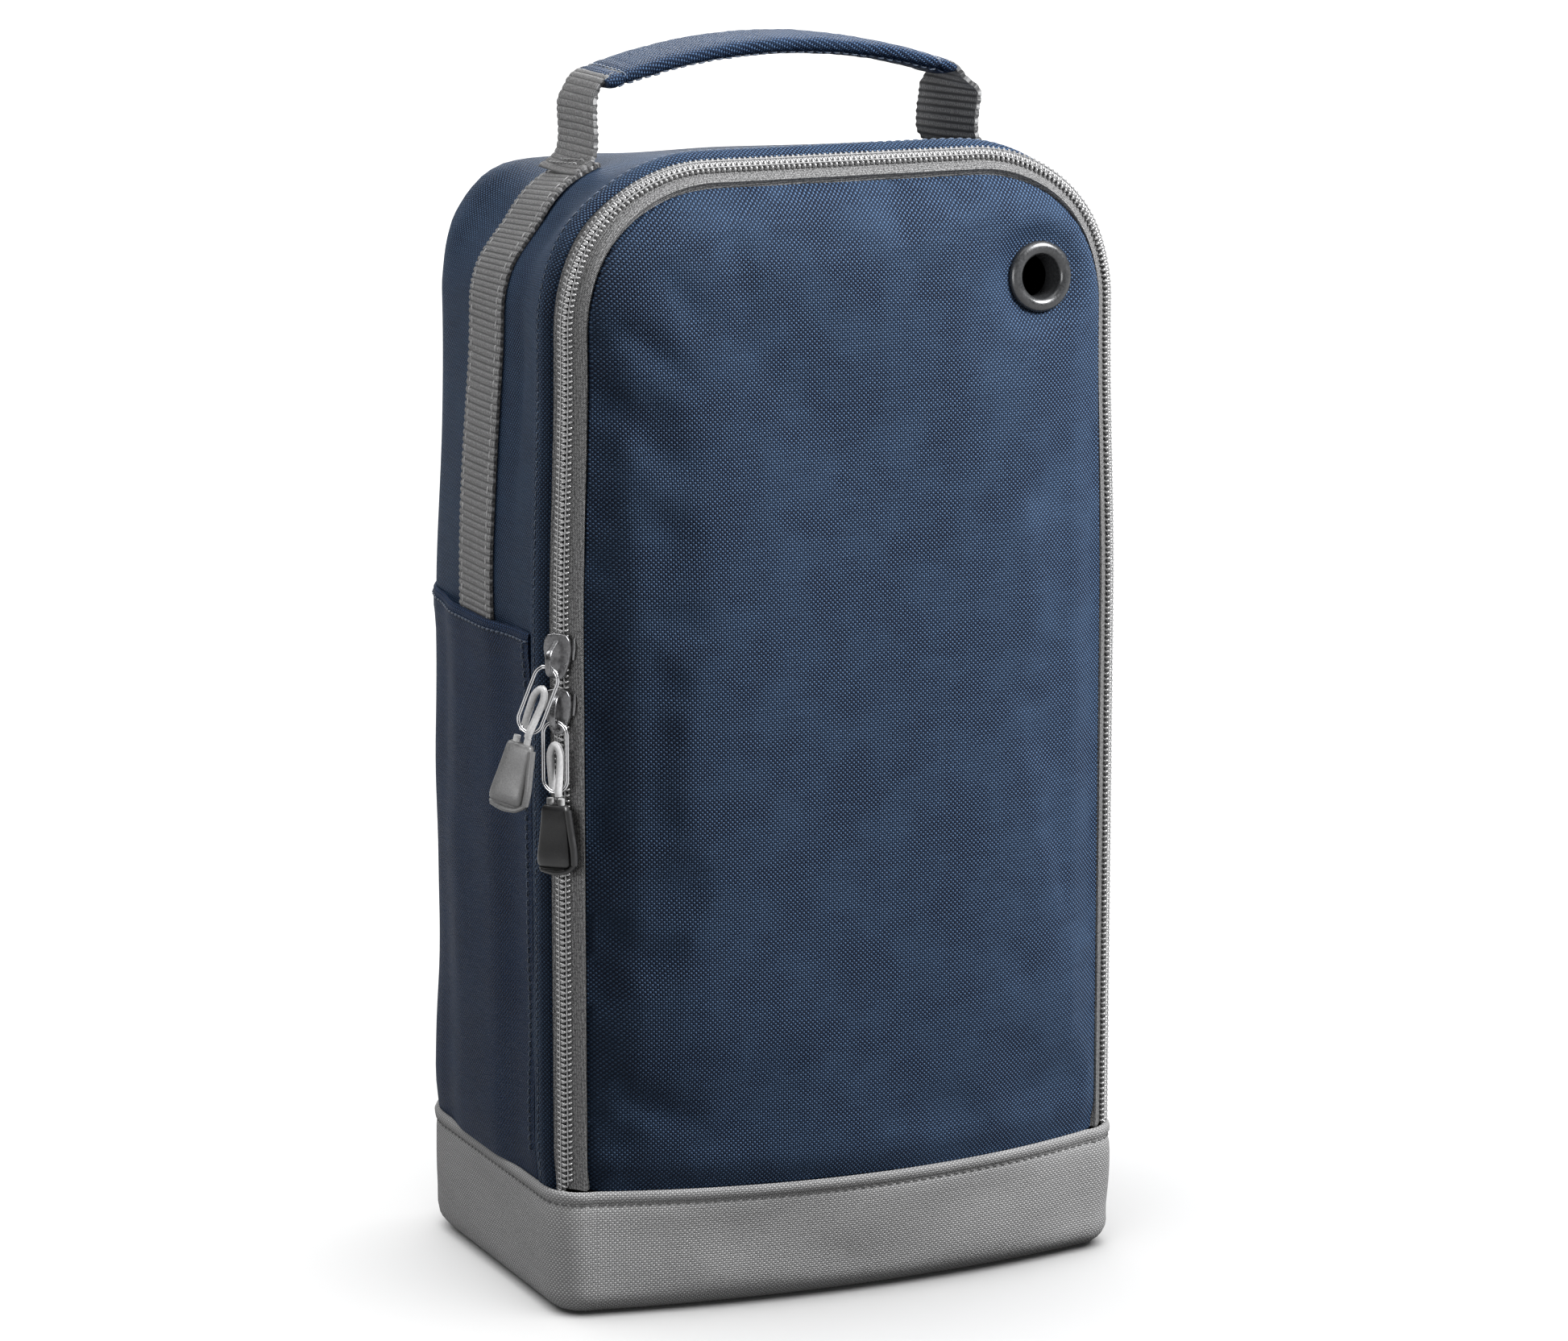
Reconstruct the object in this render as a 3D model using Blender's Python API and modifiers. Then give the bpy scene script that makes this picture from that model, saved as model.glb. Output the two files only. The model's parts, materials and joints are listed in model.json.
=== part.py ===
"""Golf shoe bag: a tall zipped box bag with a padded fold-down front, a grey base and a top handle.

Units are metres, +Z is up, +X is to the right and the front faces -Y. The origin is on the floor,
under the middle of the bag. The bag is built from soft sheets: a gusset strip that runs up one side,
over the top and down the other, a back panel, a base, and a front door that a zip joins to the gusset.
"""
import math

import bmesh
import bpy
from mathutils import Matrix, Vector

# ---- Driving dimensions -------------------------------------------------------------------------
ZIP_HALF_WIDTH = 0.0866      # middle of the bag to the zip chain, on the straight sides
ZIP_CORNER_RADIUS = 0.0455   # radius of the zip's top corners
ZIP_TOP = 0.333              # height of the chain along the top
ZIP_Y = -0.054               # depth position of the chain
GUSSET_REACH = 0.0050        # how far the gusset's outer face stands outside the chain line
GUSSET_FRONT = -0.0490       # the gusset's front hem
BACK_Y = 0.0600              # outer face of the back panel
BACK_RADIUS = 0.0250         # rounding of the bag's back corners
FRONT_Y = -0.0607            # outer face of the front panel at its edges
FRONT_BULGE = 0.0150         # how far the padded front stands out at its middle
FRONT_RADIUS = 0.0120        # rounding of the band's front corners
BAND_TOP = 0.0375            # height of the grey base band
DOOR_BOTTOM = 0.0380         # lower edge of the front door
ROOF_FALL = 0.12             # how steeply the soft roof falls away towards the back
FABRIC = 0.0010              # outer cloth
GAP = 0.0003                 # clearance between pieces that touch
POCKET_TOP = 0.2000
STRAP_WIDTH = 0.0250
STRAP_THICKNESS = 0.0014
HANDLE_X = 0.0587            # middle of the bag to each handle leg
HANDLE_PIVOT_Z = 0.3445      # where the handle's legs twist as it folds over
GRIP_Z = 0.3605              # middle of the grip, at its highest
EYELET_X = 0.0587
EYELET_Z = 0.2966
EYELET_RADIUS = 0.0103
DOOR_HINGE = (0.0, -0.0785, 0.0378)
SLIDER_UPPER_Z = 0.1970
SLIDER_LOWER_Z = 0.1810
RING_DROP = 0.0035           # slider's middle down to the wire that its bridge holds
UPPER_STANDOFF = 0.0080      # how far the upper pull's plane stands in front of the zip tape
LOWER_STANDOFF = 0.0052      # the lower pull hangs closer, so that the upper one clears its bridge
RING_LENGTH = 0.0210
RING_HALF_WIDTH = 0.0040
RING_WIRE = 0.00045
CORD_RADIUS = 0.00095
TAG_LENGTH = 0.0176
TAG_ROUND = 0.0022           # radius of the tag's round top, on its swing axis
TAG_DROP = 0.0042            # ring's lower wire down to the tag's swing axis
RING_TILT = math.radians(22)
TAG_TILT = math.radians(14)
BRIDGE_WIDTH = 0.0016
BRIDGE_CLEARANCE = 0.0010    # ring wire's middle to the underside of the bridge that holds it
DOOR_REACH = -0.0052         # the door panel's edge, inside the chain line
LINING_FRONT = -0.0427       # the gusset lining's front edge
FOAM_THICKNESS = 0.0030      # in the back
DOOR_FOAM = 0.0024
LINING = 0.0005
TAPE = 0.0006
POCKET = 0.0008
BAND_OFFSET = 0.0013         # how far the base band stands outside the gusset
BASE_BULGE = 0.0080          # the front's bulge at the floor
WALL_FOOT = 0.0300           # the gusset and back panel end here, tucked inside the band
SLEEVE_HALF = 0.0145
SLEEVE_UP = 0.0018           # webbing's middle up to the top of the padded sleeve
SLEEVE_DOWN = 0.0036
GRIP_HALF = 0.0505
GRIP_DROP = 0.0078           # how far the grip's ends hang below its middle

ARC_STEPS = 8
HALF = math.sqrt(0.5)


# ---- Scene and small helpers --------------------------------------------------------------------
def clear_scene():
    for obj in list(bpy.data.objects):
        bpy.data.objects.remove(obj, do_unlink=True)


def new_collection(name):
    collection = bpy.data.collections.new(name)
    bpy.context.scene.collection.children.link(collection)
    return collection


clear_scene()
BAG = new_collection("golf_shoe_bag")
CUTTERS = new_collection("cutters")


def make_material(name, colour, roughness, metallic=0.0):
    material = bpy.data.materials.new(name)
    material.use_nodes = True
    shader = material.node_tree.nodes["Principled BSDF"]
    shader.inputs["Base Color"].default_value = (*colour, 1.0)
    shader.inputs["Roughness"].default_value = roughness
    shader.inputs["Metallic"].default_value = metallic
    return material


NAVY = (0.045, 0.085, 0.165)
GREY = (0.23, 0.23, 0.235)
LINING_COLOUR = (0.03, 0.035, 0.045)
WEBBING = (0.16, 0.16, 0.165)
COIL = (0.45, 0.45, 0.46)
STEEL = (0.62, 0.62, 0.63)
GUNMETAL = (0.05, 0.05, 0.055)
FOAM = (0.75, 0.75, 0.72)
CORD = (0.68, 0.68, 0.68)
BLACK = (0.02, 0.02, 0.022)
BOARD = (0.55, 0.55, 0.52)


def finish(obj, colour, roughness=0.8, metallic=0.0, smooth=True):
    """Give a piece its own material and shade its curved faces smooth."""
    obj.data.materials.append(make_material(obj.name, colour, roughness, metallic))
    if smooth and obj.type == "MESH":
        obj.data.shade_smooth()
        obj.data.set_sharp_from_angle(angle=math.radians(35))
    return obj


def mesh_object(name, points, faces, collection=BAG):
    mesh = bpy.data.meshes.new(name)
    mesh.from_pydata([tuple(p) for p in points], [], faces)
    mesh.validate()
    mesh.update()
    obj = bpy.data.objects.new(name, mesh)
    collection.objects.link(obj)
    return obj


def loft(name, rows, closed_rows=False, collection=BAG):
    """An open surface through rows of points, every row with the same number of them."""
    width = len(rows[0])
    points = [p for row in rows for p in row]
    faces = []
    for i in range(len(rows) - 1):
        for j in range(width if closed_rows else width - 1):
            k = (j + 1) % width
            faces.append((i * width + j, i * width + k, (i + 1) * width + k, (i + 1) * width + j))
    return mesh_object(name, points, faces, collection)


def thicken(obj, thickness, offset=-1.0):
    """Solidify; offset -1 grows it behind the surface, +1 in front of it."""
    modifier = obj.modifiers.new("cloth", "SOLIDIFY")
    modifier.thickness = thickness
    modifier.offset = offset
    modifier.use_even_offset = True
    modifier.use_quality_normals = True
    return obj


def bevel(obj, width, segments=2, angle=30):
    modifier = obj.modifiers.new("edges", "BEVEL")
    modifier.width = width
    modifier.segments = segments
    modifier.limit_method = "ANGLE"
    modifier.angle_limit = math.radians(angle)
    return obj


def boolean(obj, tool, operation):
    """Cut or join with a tool object, which is kept as a hidden guide."""
    modifier = obj.modifiers.new(operation.lower(), "BOOLEAN")
    modifier.operation = operation
    modifier.object = tool
    modifier.solver = "EXACT"
    tool.hide_render = True
    tool.display_type = "WIRE"
    return obj


def box(name, size, centre, collection=BAG):
    """A box with its size in its mesh, so that Bevel keeps its width."""
    mesh = bpy.data.meshes.new(name)
    shape = bmesh.new()
    bmesh.ops.create_cube(shape, size=1.0)
    bmesh.ops.scale(shape, vec=size, verts=shape.verts)
    bmesh.ops.translate(shape, vec=centre, verts=shape.verts)
    shape.to_mesh(mesh)
    shape.free()
    obj = bpy.data.objects.new(name, mesh)
    collection.objects.link(obj)
    return obj


def cylinder(name, radius, length, matrix, sides=32, collection=BAG):
    """A cylinder along the matrix's local Z, centred on its origin."""
    mesh = bpy.data.meshes.new(name)
    shape = bmesh.new()
    bmesh.ops.create_cone(shape, cap_ends=True, segments=sides, radius1=radius, radius2=radius,
                          depth=length, matrix=matrix)
    shape.to_mesh(mesh)
    shape.free()
    obj = bpy.data.objects.new(name, mesh)
    collection.objects.link(obj)
    return obj


def plate(name, outline, thickness, collection=BAG):
    """A flat outline in its local XY plane, filled and extruded to a thickness."""
    curve = bpy.data.curves.new(name, "CURVE")
    curve.dimensions = "2D"
    curve.fill_mode = "BOTH"
    curve.extrude = thickness / 2
    spline = curve.splines.new("POLY")
    spline.points.add(len(outline) - 1)
    for point, (x, y) in zip(spline.points, outline):
        point.co = (x, y, 0.0, 1.0)
    spline.use_cyclic_u = True
    obj = bpy.data.objects.new(name, curve)
    collection.objects.link(obj)
    return obj


def wire(name, points, radius, cyclic=False, resolution=2):
    curve = bpy.data.curves.new(name, "CURVE")
    curve.dimensions = "3D"
    curve.bevel_depth = radius
    curve.bevel_resolution = resolution
    curve.use_fill_caps = not cyclic
    spline = curve.splines.new("POLY")
    spline.points.add(len(points) - 1)
    for point, place in zip(spline.points, points):
        point.co = (*place, 1.0)
    spline.use_cyclic_u = cyclic
    obj = bpy.data.objects.new(name, curve)
    BAG.objects.link(obj)
    return obj


def curve_to_mesh(obj):
    """Turn a curve into a mesh with its caps welded, so that a Boolean can use it."""
    name = obj.name
    collection = obj.users_collection[0]
    evaluated = obj.evaluated_get(bpy.context.evaluated_depsgraph_get())
    mesh = bpy.data.meshes.new_from_object(evaluated)
    matrix = obj.matrix_world.copy()
    shape = bmesh.new()
    shape.from_mesh(mesh)
    bmesh.ops.remove_doubles(shape, verts=shape.verts, dist=0.000001)
    bmesh.ops.recalc_face_normals(shape, faces=shape.faces)
    shape.to_mesh(mesh)
    shape.free()
    bpy.data.objects.remove(obj, do_unlink=True)
    solid = bpy.data.objects.new(name, mesh)
    solid.matrix_world = matrix
    collection.objects.link(solid)
    return solid


def joint_empty(name, matrix, parent=None):
    empty = bpy.data.objects.new(name, None)
    BAG.objects.link(empty)
    empty.matrix_world = matrix
    if parent is not None:
        attach(empty, parent)
    return empty


def attach(child, parent):
    """Parent a piece without moving it."""
    bpy.context.view_layer.update()
    child.parent = parent
    child.matrix_parent_inverse = parent.matrix_world.inverted()


# ---- The bag's shape ----------------------------------------------------------------------------
def drop_roof(x, y, z, reach):
    """Let the roof fall towards the back, more and more over the top corners."""
    corner_start = ZIP_TOP - ZIP_CORNER_RADIUS
    share = min(max((z - corner_start) / (ZIP_CORNER_RADIUS + reach), 0.0), 1.0)
    return x, y, z - ROOF_FALL * (y - GUSSET_FRONT) * share


def arch(reach, bottom):
    """Points (x, z) up the left side, over the top and down the right, reach outside the zip line."""
    half = ZIP_HALF_WIDTH + reach
    radius = ZIP_CORNER_RADIUS + reach
    top = ZIP_TOP + reach
    left = []
    for i in range(ARC_STEPS + 1):
        angle = math.pi - i * (math.pi / 2) / ARC_STEPS
        left.append((radius - half + radius * math.cos(angle), top - radius + radius * math.sin(angle)))
    left.insert(0, (-half, bottom))
    return left + [(-x, z) for x, z in reversed(left)]


def sweep(name, section, bottom, closed=False):
    """Carry a section of (reach, y) points along the arch."""
    tracks = [arch(reach, bottom) for reach, _ in section]
    rows = []
    for station in range(len(tracks[0])):
        row = []
        for (reach, y), track in zip(section, tracks):
            x, z = track[station]
            row.append(drop_roof(x, y, z, reach))
        rows.append(row)
    return loft(name, rows, closed_rows=closed)


def gusset_section(inset, front, back_turn=90):
    """Side wall and back corner as (reach, y) points, inset from the bag's outer face."""
    reach = GUSSET_REACH - inset
    radius = BACK_RADIUS - inset
    centre = (GUSSET_REACH - BACK_RADIUS, BACK_Y - BACK_RADIUS)
    section = [(reach, front), (reach, centre[1])]
    steps = 5
    for i in range(1, steps + 1):
        angle = math.radians(back_turn) * i / steps
        section.append((centre[0] + radius * math.cos(angle), centre[1] + radius * math.sin(angle)))
    return section


def door_half_width(z, reach=DOOR_REACH):
    """Half the front door's width at a height."""
    half = ZIP_HALF_WIDTH + reach
    radius = ZIP_CORNER_RADIUS + reach
    rise = z - (ZIP_TOP - ZIP_CORNER_RADIUS)
    if rise <= 0:
        return half
    return half - radius + math.sqrt(max(radius ** 2 - rise ** 2, 0.0))


def front_surface(x, z):
    """Depth of the front panel's outer face: flat at its edges, full at its middle."""
    top = ZIP_TOP + DOOR_REACH
    share = min(max((z - DOOR_BOTTOM) / (top - DOOR_BOTTOM), 0.0), 1.0)
    fullness = FRONT_BULGE * (1 - share ** 4)
    across = x / door_half_width(min(z, top))
    return FRONT_Y - fullness * (1 - min(across ** 2, 1.0))


def door_layer(name, reach, bottom, depth, thickness, columns=12):
    """One layer of the door, its front face a given depth behind the panel's outer face."""
    radius = ZIP_CORNER_RADIUS + reach
    start = ZIP_TOP - ZIP_CORNER_RADIUS
    heights = [bottom + (start - bottom) * i / 8 for i in range(8)]
    heights += [start + radius * math.sin(math.pi / 2 * i / ARC_STEPS) for i in range(ARC_STEPS + 1)]
    rows = []
    for z in heights:
        half = door_half_width(z, reach)
        row = []
        for j in range(columns + 1):
            x = half * (2 * j / columns - 1)
            row.append((x, front_surface(x, z) + depth, z))
        rows.append(row)
    return thicken(loft(name, rows), thickness)


def chamfer(along, out):
    """A point (reach, y) on the zip's slanted face: along it from the chain, and out of it."""
    return HALF * (along + out), ZIP_Y + HALF * (along - out)


def plan_outline(offset, bulge):
    """The bag's outline seen from above, anticlockwise, offset outwards."""
    half = ZIP_HALF_WIDTH + GUSSET_REACH
    points = []
    front_half = half - FRONT_RADIUS
    for i in range(13):
        x = front_half * (i / 6 - 1)
        points.append((x, FRONT_Y - bulge * (1 - (x / front_half) ** 2)))
    for i in range(1, 5):
        angle = -math.pi / 2 + math.pi / 2 * i / 4
        points.append((front_half + FRONT_RADIUS * math.cos(angle),
                       FRONT_Y + FRONT_RADIUS + FRONT_RADIUS * math.sin(angle)))
    back_half = half - BACK_RADIUS
    for i in range(7):
        angle = math.pi / 2 * i / 6
        points.append((back_half + BACK_RADIUS * math.cos(angle),
                       BACK_Y - BACK_RADIUS + BACK_RADIUS * math.sin(angle)))
    for i in range(7):
        angle = math.pi / 2 + math.pi / 2 * i / 6
        points.append((-back_half + BACK_RADIUS * math.cos(angle),
                       BACK_Y - BACK_RADIUS + BACK_RADIUS * math.sin(angle)))
    for i in range(4):
        angle = math.pi + math.pi / 2 * i / 4
        points.append((-front_half + FRONT_RADIUS * math.cos(angle),
                       FRONT_Y + FRONT_RADIUS + FRONT_RADIUS * math.sin(angle)))
    return offset_outline(points, offset)


def offset_outline(points, offset):
    """Move each point of a closed outline outwards along its corner's normal."""
    moved = []
    for i, point in enumerate(points):
        before = Vector(points[i - 1])
        after = Vector(points[(i + 1) % len(points)])
        run = (after - before).normalized()
        moved.append((point[0] + run.y * offset, point[1] - run.x * offset))
    return moved


# ---- Body: gusset, back and base ----------------------------------------------------------------
def build_gusset():
    wall = sweep("gusset", gusset_section(0.0, GUSSET_FRONT), WALL_FOOT)
    finish(thicken(wall, FABRIC, offset=1.0), NAVY, 0.85)
    lining = sweep("gusset_lining", gusset_section(FABRIC + GAP, LINING_FRONT), 0.0050)
    finish(thicken(lining, LINING, offset=1.0), LINING_COLOUR, 0.6)


def standing_plate(name, reach, bottom, front, thickness):
    """A flat upright plate with the bag's arched outline."""
    outline = []
    for x, z in arch(reach, bottom):
        outline.append((x, drop_roof(x, front, z, reach)[2]))
    panel = plate(name, outline, thickness)
    panel.rotation_euler = (math.pi / 2, 0.0, 0.0)
    panel.location = (0.0, front + thickness / 2, 0.0)
    return panel


def build_back():
    edge = GUSSET_REACH - BACK_RADIUS - 2.5 * GAP
    finish(standing_plate("back_panel", edge, WALL_FOOT, BACK_Y - FABRIC, FABRIC), NAVY, 0.85)
    foot = 0.0055
    inner_edge = edge - 0.0015
    foam_y = BACK_Y - FABRIC - GAP - FOAM_THICKNESS
    finish(standing_plate("back_foam", inner_edge, foot, foam_y, FOAM_THICKNESS), FOAM, 0.9)
    lining_y = foam_y - GAP - LINING
    finish(standing_plate("back_lining", inner_edge, foot, lining_y, LINING), LINING_COLOUR, 0.6)


def build_base():
    # The band stands outside the gusset and curls under the bag at its lower edge.
    profile = [(BAND_TOP, BAND_OFFSET), (0.0070, BAND_OFFSET), (0.0035, 0.0003),
               (0.0013, -0.0020), (0.0004, -0.0055)]
    rows = []
    for z, offset in profile:
        bulge = BASE_BULGE + (FRONT_BULGE - BASE_BULGE) * z / BAND_TOP
        rows.append([(x, y, z) for x, y in plan_outline(offset, bulge)])
    band = thicken(loft("base_band", rows, closed_rows=True), FABRIC, offset=1.0)
    finish(band, GREY, 0.85)
    layers = [("base_panel", 0.0000, 0.0010, -0.0062, GREY),
              ("base_board", 0.0017, 0.0020, -0.0065, BOARD),
              ("base_lining", 0.0040, LINING, -0.0030, LINING_COLOUR)]
    for name, bottom, thickness, offset, colour in layers:
        sheet = plate(name, plan_outline(offset, BASE_BULGE), thickness)
        sheet.location = (0.0, 0.0, bottom + thickness / 2)
        finish(sheet, colour, 0.8)


def mirror_rows(rows):
    return [[(-x, y, z) for x, y, z in row] for row in rows]


def build_pockets():
    """A flat slip pocket on each side, raised over the strap that runs on beneath it."""
    step = STRAP_THICKNESS + 2 * GAP
    half = STRAP_WIDTH / 2
    outside = GUSSET_REACH + GAP
    ramp = 0.0045
    shelf = 0.0010
    section = [(outside, -0.0425), (outside, -half - ramp), (outside + step, -half - shelf),
               (outside + step, half + shelf), (outside, half + ramp)]
    section += [(reach, y) for reach, y in gusset_section(-GAP, 0.0, back_turn=75)[1:]]
    rows = []
    for z in (DOOR_BOTTOM, POCKET_TOP):
        rows.append([(-ZIP_HALF_WIDTH - reach, y, z) for reach, y in section])
    left = thicken(loft("pocket_left", rows), POCKET)
    right = thicken(loft("pocket_right", mirror_rows(rows)), POCKET, offset=1.0)
    for pocket in (left, right):
        finish(pocket, NAVY, 0.85)


def build_side_straps():
    """Webbing sewn up each side and over the shoulder, to the foot of the handle."""
    reach = GUSSET_REACH + GAP
    radius = ZIP_CORNER_RADIUS + reach
    end_angle = math.acos((HANDLE_X - STRAP_THICKNESS - ZIP_HALF_WIDTH + ZIP_CORNER_RADIUS) / radius)
    track = [(-ZIP_HALF_WIDTH - reach, BAND_TOP + 0.0010), (-ZIP_HALF_WIDTH - reach, 0.1600)]
    for i in range(ARC_STEPS + 1):
        angle = math.pi - end_angle * i / ARC_STEPS
        track.append((ZIP_CORNER_RADIUS - ZIP_HALF_WIDTH + radius * math.cos(angle),
                      ZIP_TOP - ZIP_CORNER_RADIUS + radius * math.sin(angle)))
    rows = []
    for x, z in track:
        rows.append([drop_roof(x, y, z, reach) for y in (-STRAP_WIDTH / 2, 0.0, STRAP_WIDTH / 2)])
    left = thicken(loft("webbing_left", rows), STRAP_THICKNESS)
    right = thicken(loft("webbing_right", mirror_rows(rows)), STRAP_THICKNESS, offset=1.0)
    for strap in (left, right):
        finish(strap, WEBBING, 0.9)


# ---- Zip ----------------------------------------------------------------------------------------
def coil_section(side):
    """Half of the chain: a bead with a rounded crown, on one side of the meeting line."""
    inner, outer, crown = 0.00015, 0.0031, 0.0022
    shape = [(inner, 0.0), (inner, 0.0016), (0.0008, crown), (0.0023, crown), (outer, 0.0014), (outer, 0.0)]
    points = [chamfer(side * along, out) for along, out in shape]
    return points if side > 0 else points[::-1]


def closed_sweep(name, section, bottom):
    """A solid bar along the arch, capped at both feet."""
    bar = sweep(name, section, bottom, closed=True)
    shape = bmesh.new()
    shape.from_mesh(bar.data)
    rims = [edge for edge in shape.edges if edge.is_boundary]
    bmesh.ops.holes_fill(shape, edges=rims)
    bmesh.ops.recalc_face_normals(shape, faces=shape.faces)
    shape.to_mesh(bar.data)
    shape.free()
    return bar


def build_zip_halves():
    under = -GAP
    inside = GUSSET_REACH - FABRIC - GAP
    body = [chamfer(0.0002, under), chamfer(0.0052, under), (inside, -0.0494), (inside, -0.0432)]
    tape_body = thicken(sweep("zip_tape_body", body, 0.0310), TAPE, offset=1.0)
    behind = FRONT_Y + FABRIC + GAP
    door = [chamfer(-0.0002, under), chamfer(-0.0072, under), (-0.0060, behind), (-0.0085, behind)]
    tape_door = thicken(sweep("zip_tape_door", door, DOOR_BOTTOM), TAPE)
    for tape in (tape_body, tape_door):
        finish(tape, GREY, 0.85)
    coil_body = closed_sweep("zip_coil_body", coil_section(1), 0.0330)
    coil_door = closed_sweep("zip_coil_door", coil_section(-1), DOOR_BOTTOM)
    for coil in (coil_body, coil_door):
        finish(coil, COIL, 0.35)
    return tape_door, coil_door


# ---- Door ---------------------------------------------------------------------------------------
def eyelet_frame():
    """The eyelet's axis: its local Z points out of the padded front."""
    step = 0.001
    right = front_surface(EYELET_X + step, EYELET_Z)
    left = front_surface(EYELET_X - step, EYELET_Z)
    above = front_surface(EYELET_X, EYELET_Z + step)
    below = front_surface(EYELET_X, EYELET_Z - step)
    slope_x = (right - left) / (2 * step)
    slope_z = (above - below) / (2 * step)
    outward = Vector((slope_x, -1.0, slope_z)).normalized()
    place = Vector((EYELET_X, front_surface(EYELET_X, EYELET_Z), EYELET_Z))
    return Matrix.Translation(place) @ outward.to_track_quat("Z", "Y").to_matrix().to_4x4()


def turned(name, profile, matrix, steps=32):
    """A ring turned from a closed (radius, height) profile."""
    points = [(radius, 0.0, height) for radius, height in profile]
    mesh = bpy.data.meshes.new(name)
    count = len(points)
    mesh.from_pydata(points, [(i, (i + 1) % count) for i in range(count)], [])
    obj = bpy.data.objects.new(name, mesh)
    BAG.objects.link(obj)
    screw = obj.modifiers.new("turn", "SCREW")
    screw.steps = steps
    screw.render_steps = steps
    screw.use_merge_vertices = True
    screw.merge_threshold = 0.00001
    obj.matrix_world = matrix
    return obj


def build_door():
    panel = door_layer("front_panel", DOOR_REACH, DOOR_BOTTOM, 0.0, FABRIC)
    foam = door_layer("front_foam", -0.0095, 0.0400, FABRIC + GAP, DOOR_FOAM)
    lining = door_layer("front_lining", -0.0060, 0.0385, FABRIC + DOOR_FOAM + 2 * GAP, LINING)
    frame = eyelet_frame()
    drill = cylinder("eyelet_drill", 0.0072, 0.030, frame, collection=CUTTERS)
    for layer in (panel, foam, lining):
        boolean(layer, drill, "DIFFERENCE")
    finish(panel, NAVY, 0.85)
    finish(foam, FOAM, 0.9)
    finish(lining, LINING_COLOUR, 0.6)
    # A rolled face ring with a barrel through the door, and a washer behind that it is clenched on.
    face = 0.0003
    rim = [(EYELET_RADIUS, face + 0.0006), (EYELET_RADIUS - 0.0001, face), (0.0069, face),
           (0.0068, -0.0062), (0.0061, -0.0062), (0.0061, face + 0.0004), (0.0070, face + 0.0014),
           (0.0085, face + 0.0017), (0.0097, face + 0.0014)]
    eyelet = turned("eyelet", rim, frame)
    washer_front = -0.0053
    flat_ring = [(0.0100, washer_front), (0.0100, washer_front - 0.0007), (0.0071, washer_front - 0.0007),
                 (0.0071, washer_front)]
    washer = turned("eyelet_washer", flat_ring, frame)
    finish(eyelet, GUNMETAL, 0.3, 0.6)
    finish(washer, GUNMETAL, 0.35, 0.6)
    return [panel, foam, lining, eyelet, washer]


# ---- Handle -------------------------------------------------------------------------------------
def grip_point(share):
    """A point (x, z) along the grip's middle line, from its left end (-1) to its right end (1)."""
    return GRIP_HALF * share, GRIP_Z - GRIP_DROP * share ** 2


def handle_track():
    """Middle line of the handle's webbing: up the left leg, along the grip and down the right leg."""
    leg_top = HANDLE_PIVOT_Z + 0.0025
    half = [(-HANDLE_X, leg_top), (-HANDLE_X + 0.0004, leg_top + 0.0025),
            (-HANDLE_X + 0.0030, leg_top + 0.0046)]
    half += [grip_point(-1 + i / 4) for i in range(4)]
    return half + [grip_point(0.0)] + [(-x, z) for x, z in reversed(half)]


def build_handle():
    half_width = STRAP_WIDTH / 2
    foot = []
    for i in range(5):
        angle = math.radians(80 - 20 * i)
        foot.append((HANDLE_PIVOT_Z - half_width * math.sin(angle), half_width * math.cos(angle)))
    rows = [[(-HANDLE_X, side * reach, z) for side in (-1, 0, 1)] for z, reach in foot]
    for x, z in handle_track():
        rows.append([(x, side * half_width, z) for side in (-1, 0, 1)])
    rows += [[(HANDLE_X, side * reach, z) for side in (-1, 0, 1)] for z, reach in reversed(foot)]
    webbing = thicken(loft("handle_webbing", rows), STRAP_THICKNESS, offset=0.0)
    finish(webbing, WEBBING, 0.9)
    # The sleeve is wrapped round the webbing, with a strip of foam under it.
    stations = [i / 6 - 1 for i in range(13)]
    rows = []
    core_rows = []
    for share in stations:
        x, z = grip_point(share)
        slope = -2 * GRIP_DROP * share / GRIP_HALF
        lean = math.atan(slope)
        section = []
        for across, up in ((-1, 0.0), (-0.93, 0.8), (-0.8, 1.0), (0.8, 1.0), (0.93, 0.8), (1, 0.0),
                           (0.93, -0.8), (0.8, -1.0), (-0.8, -1.0), (-0.93, -0.8)):
            rise = up * (SLEEVE_UP if up > 0 else SLEEVE_DOWN)
            section.append((x - rise * math.sin(lean), across * SLEEVE_HALF, z + rise * math.cos(lean)))
        rows.append(section)
        drop = STRAP_THICKNESS / 2 + GAP
        core_rows.append([(x + drop * math.sin(lean), side * 0.0115, z - drop * math.cos(lean))
                          for side in (-1, 1)])
    sleeve = thicken(loft("handle_sleeve", rows, closed_rows=True), 0.0007)
    core = thicken(loft("handle_core", core_rows), 0.0016, offset=1.0)
    finish(sleeve, NAVY, 0.85)
    finish(core, FOAM, 0.9)
    pivot = joint_empty("handle_pivot", Matrix.Translation((0.0, 0.0, HANDLE_PIVOT_Z)))
    for piece in (webbing, sleeve, core):
        attach(piece, pivot)


# ---- Sliders and pulls --------------------------------------------------------------------------
def zip_frame(z):
    """Local X runs across the zip's slanted face to the outside, local Y out of it, local Z up."""
    place = Matrix.Translation((-ZIP_HALF_WIDTH, ZIP_Y, z))
    return place @ Matrix.Rotation(math.radians(135), 4, "Z")


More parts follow.
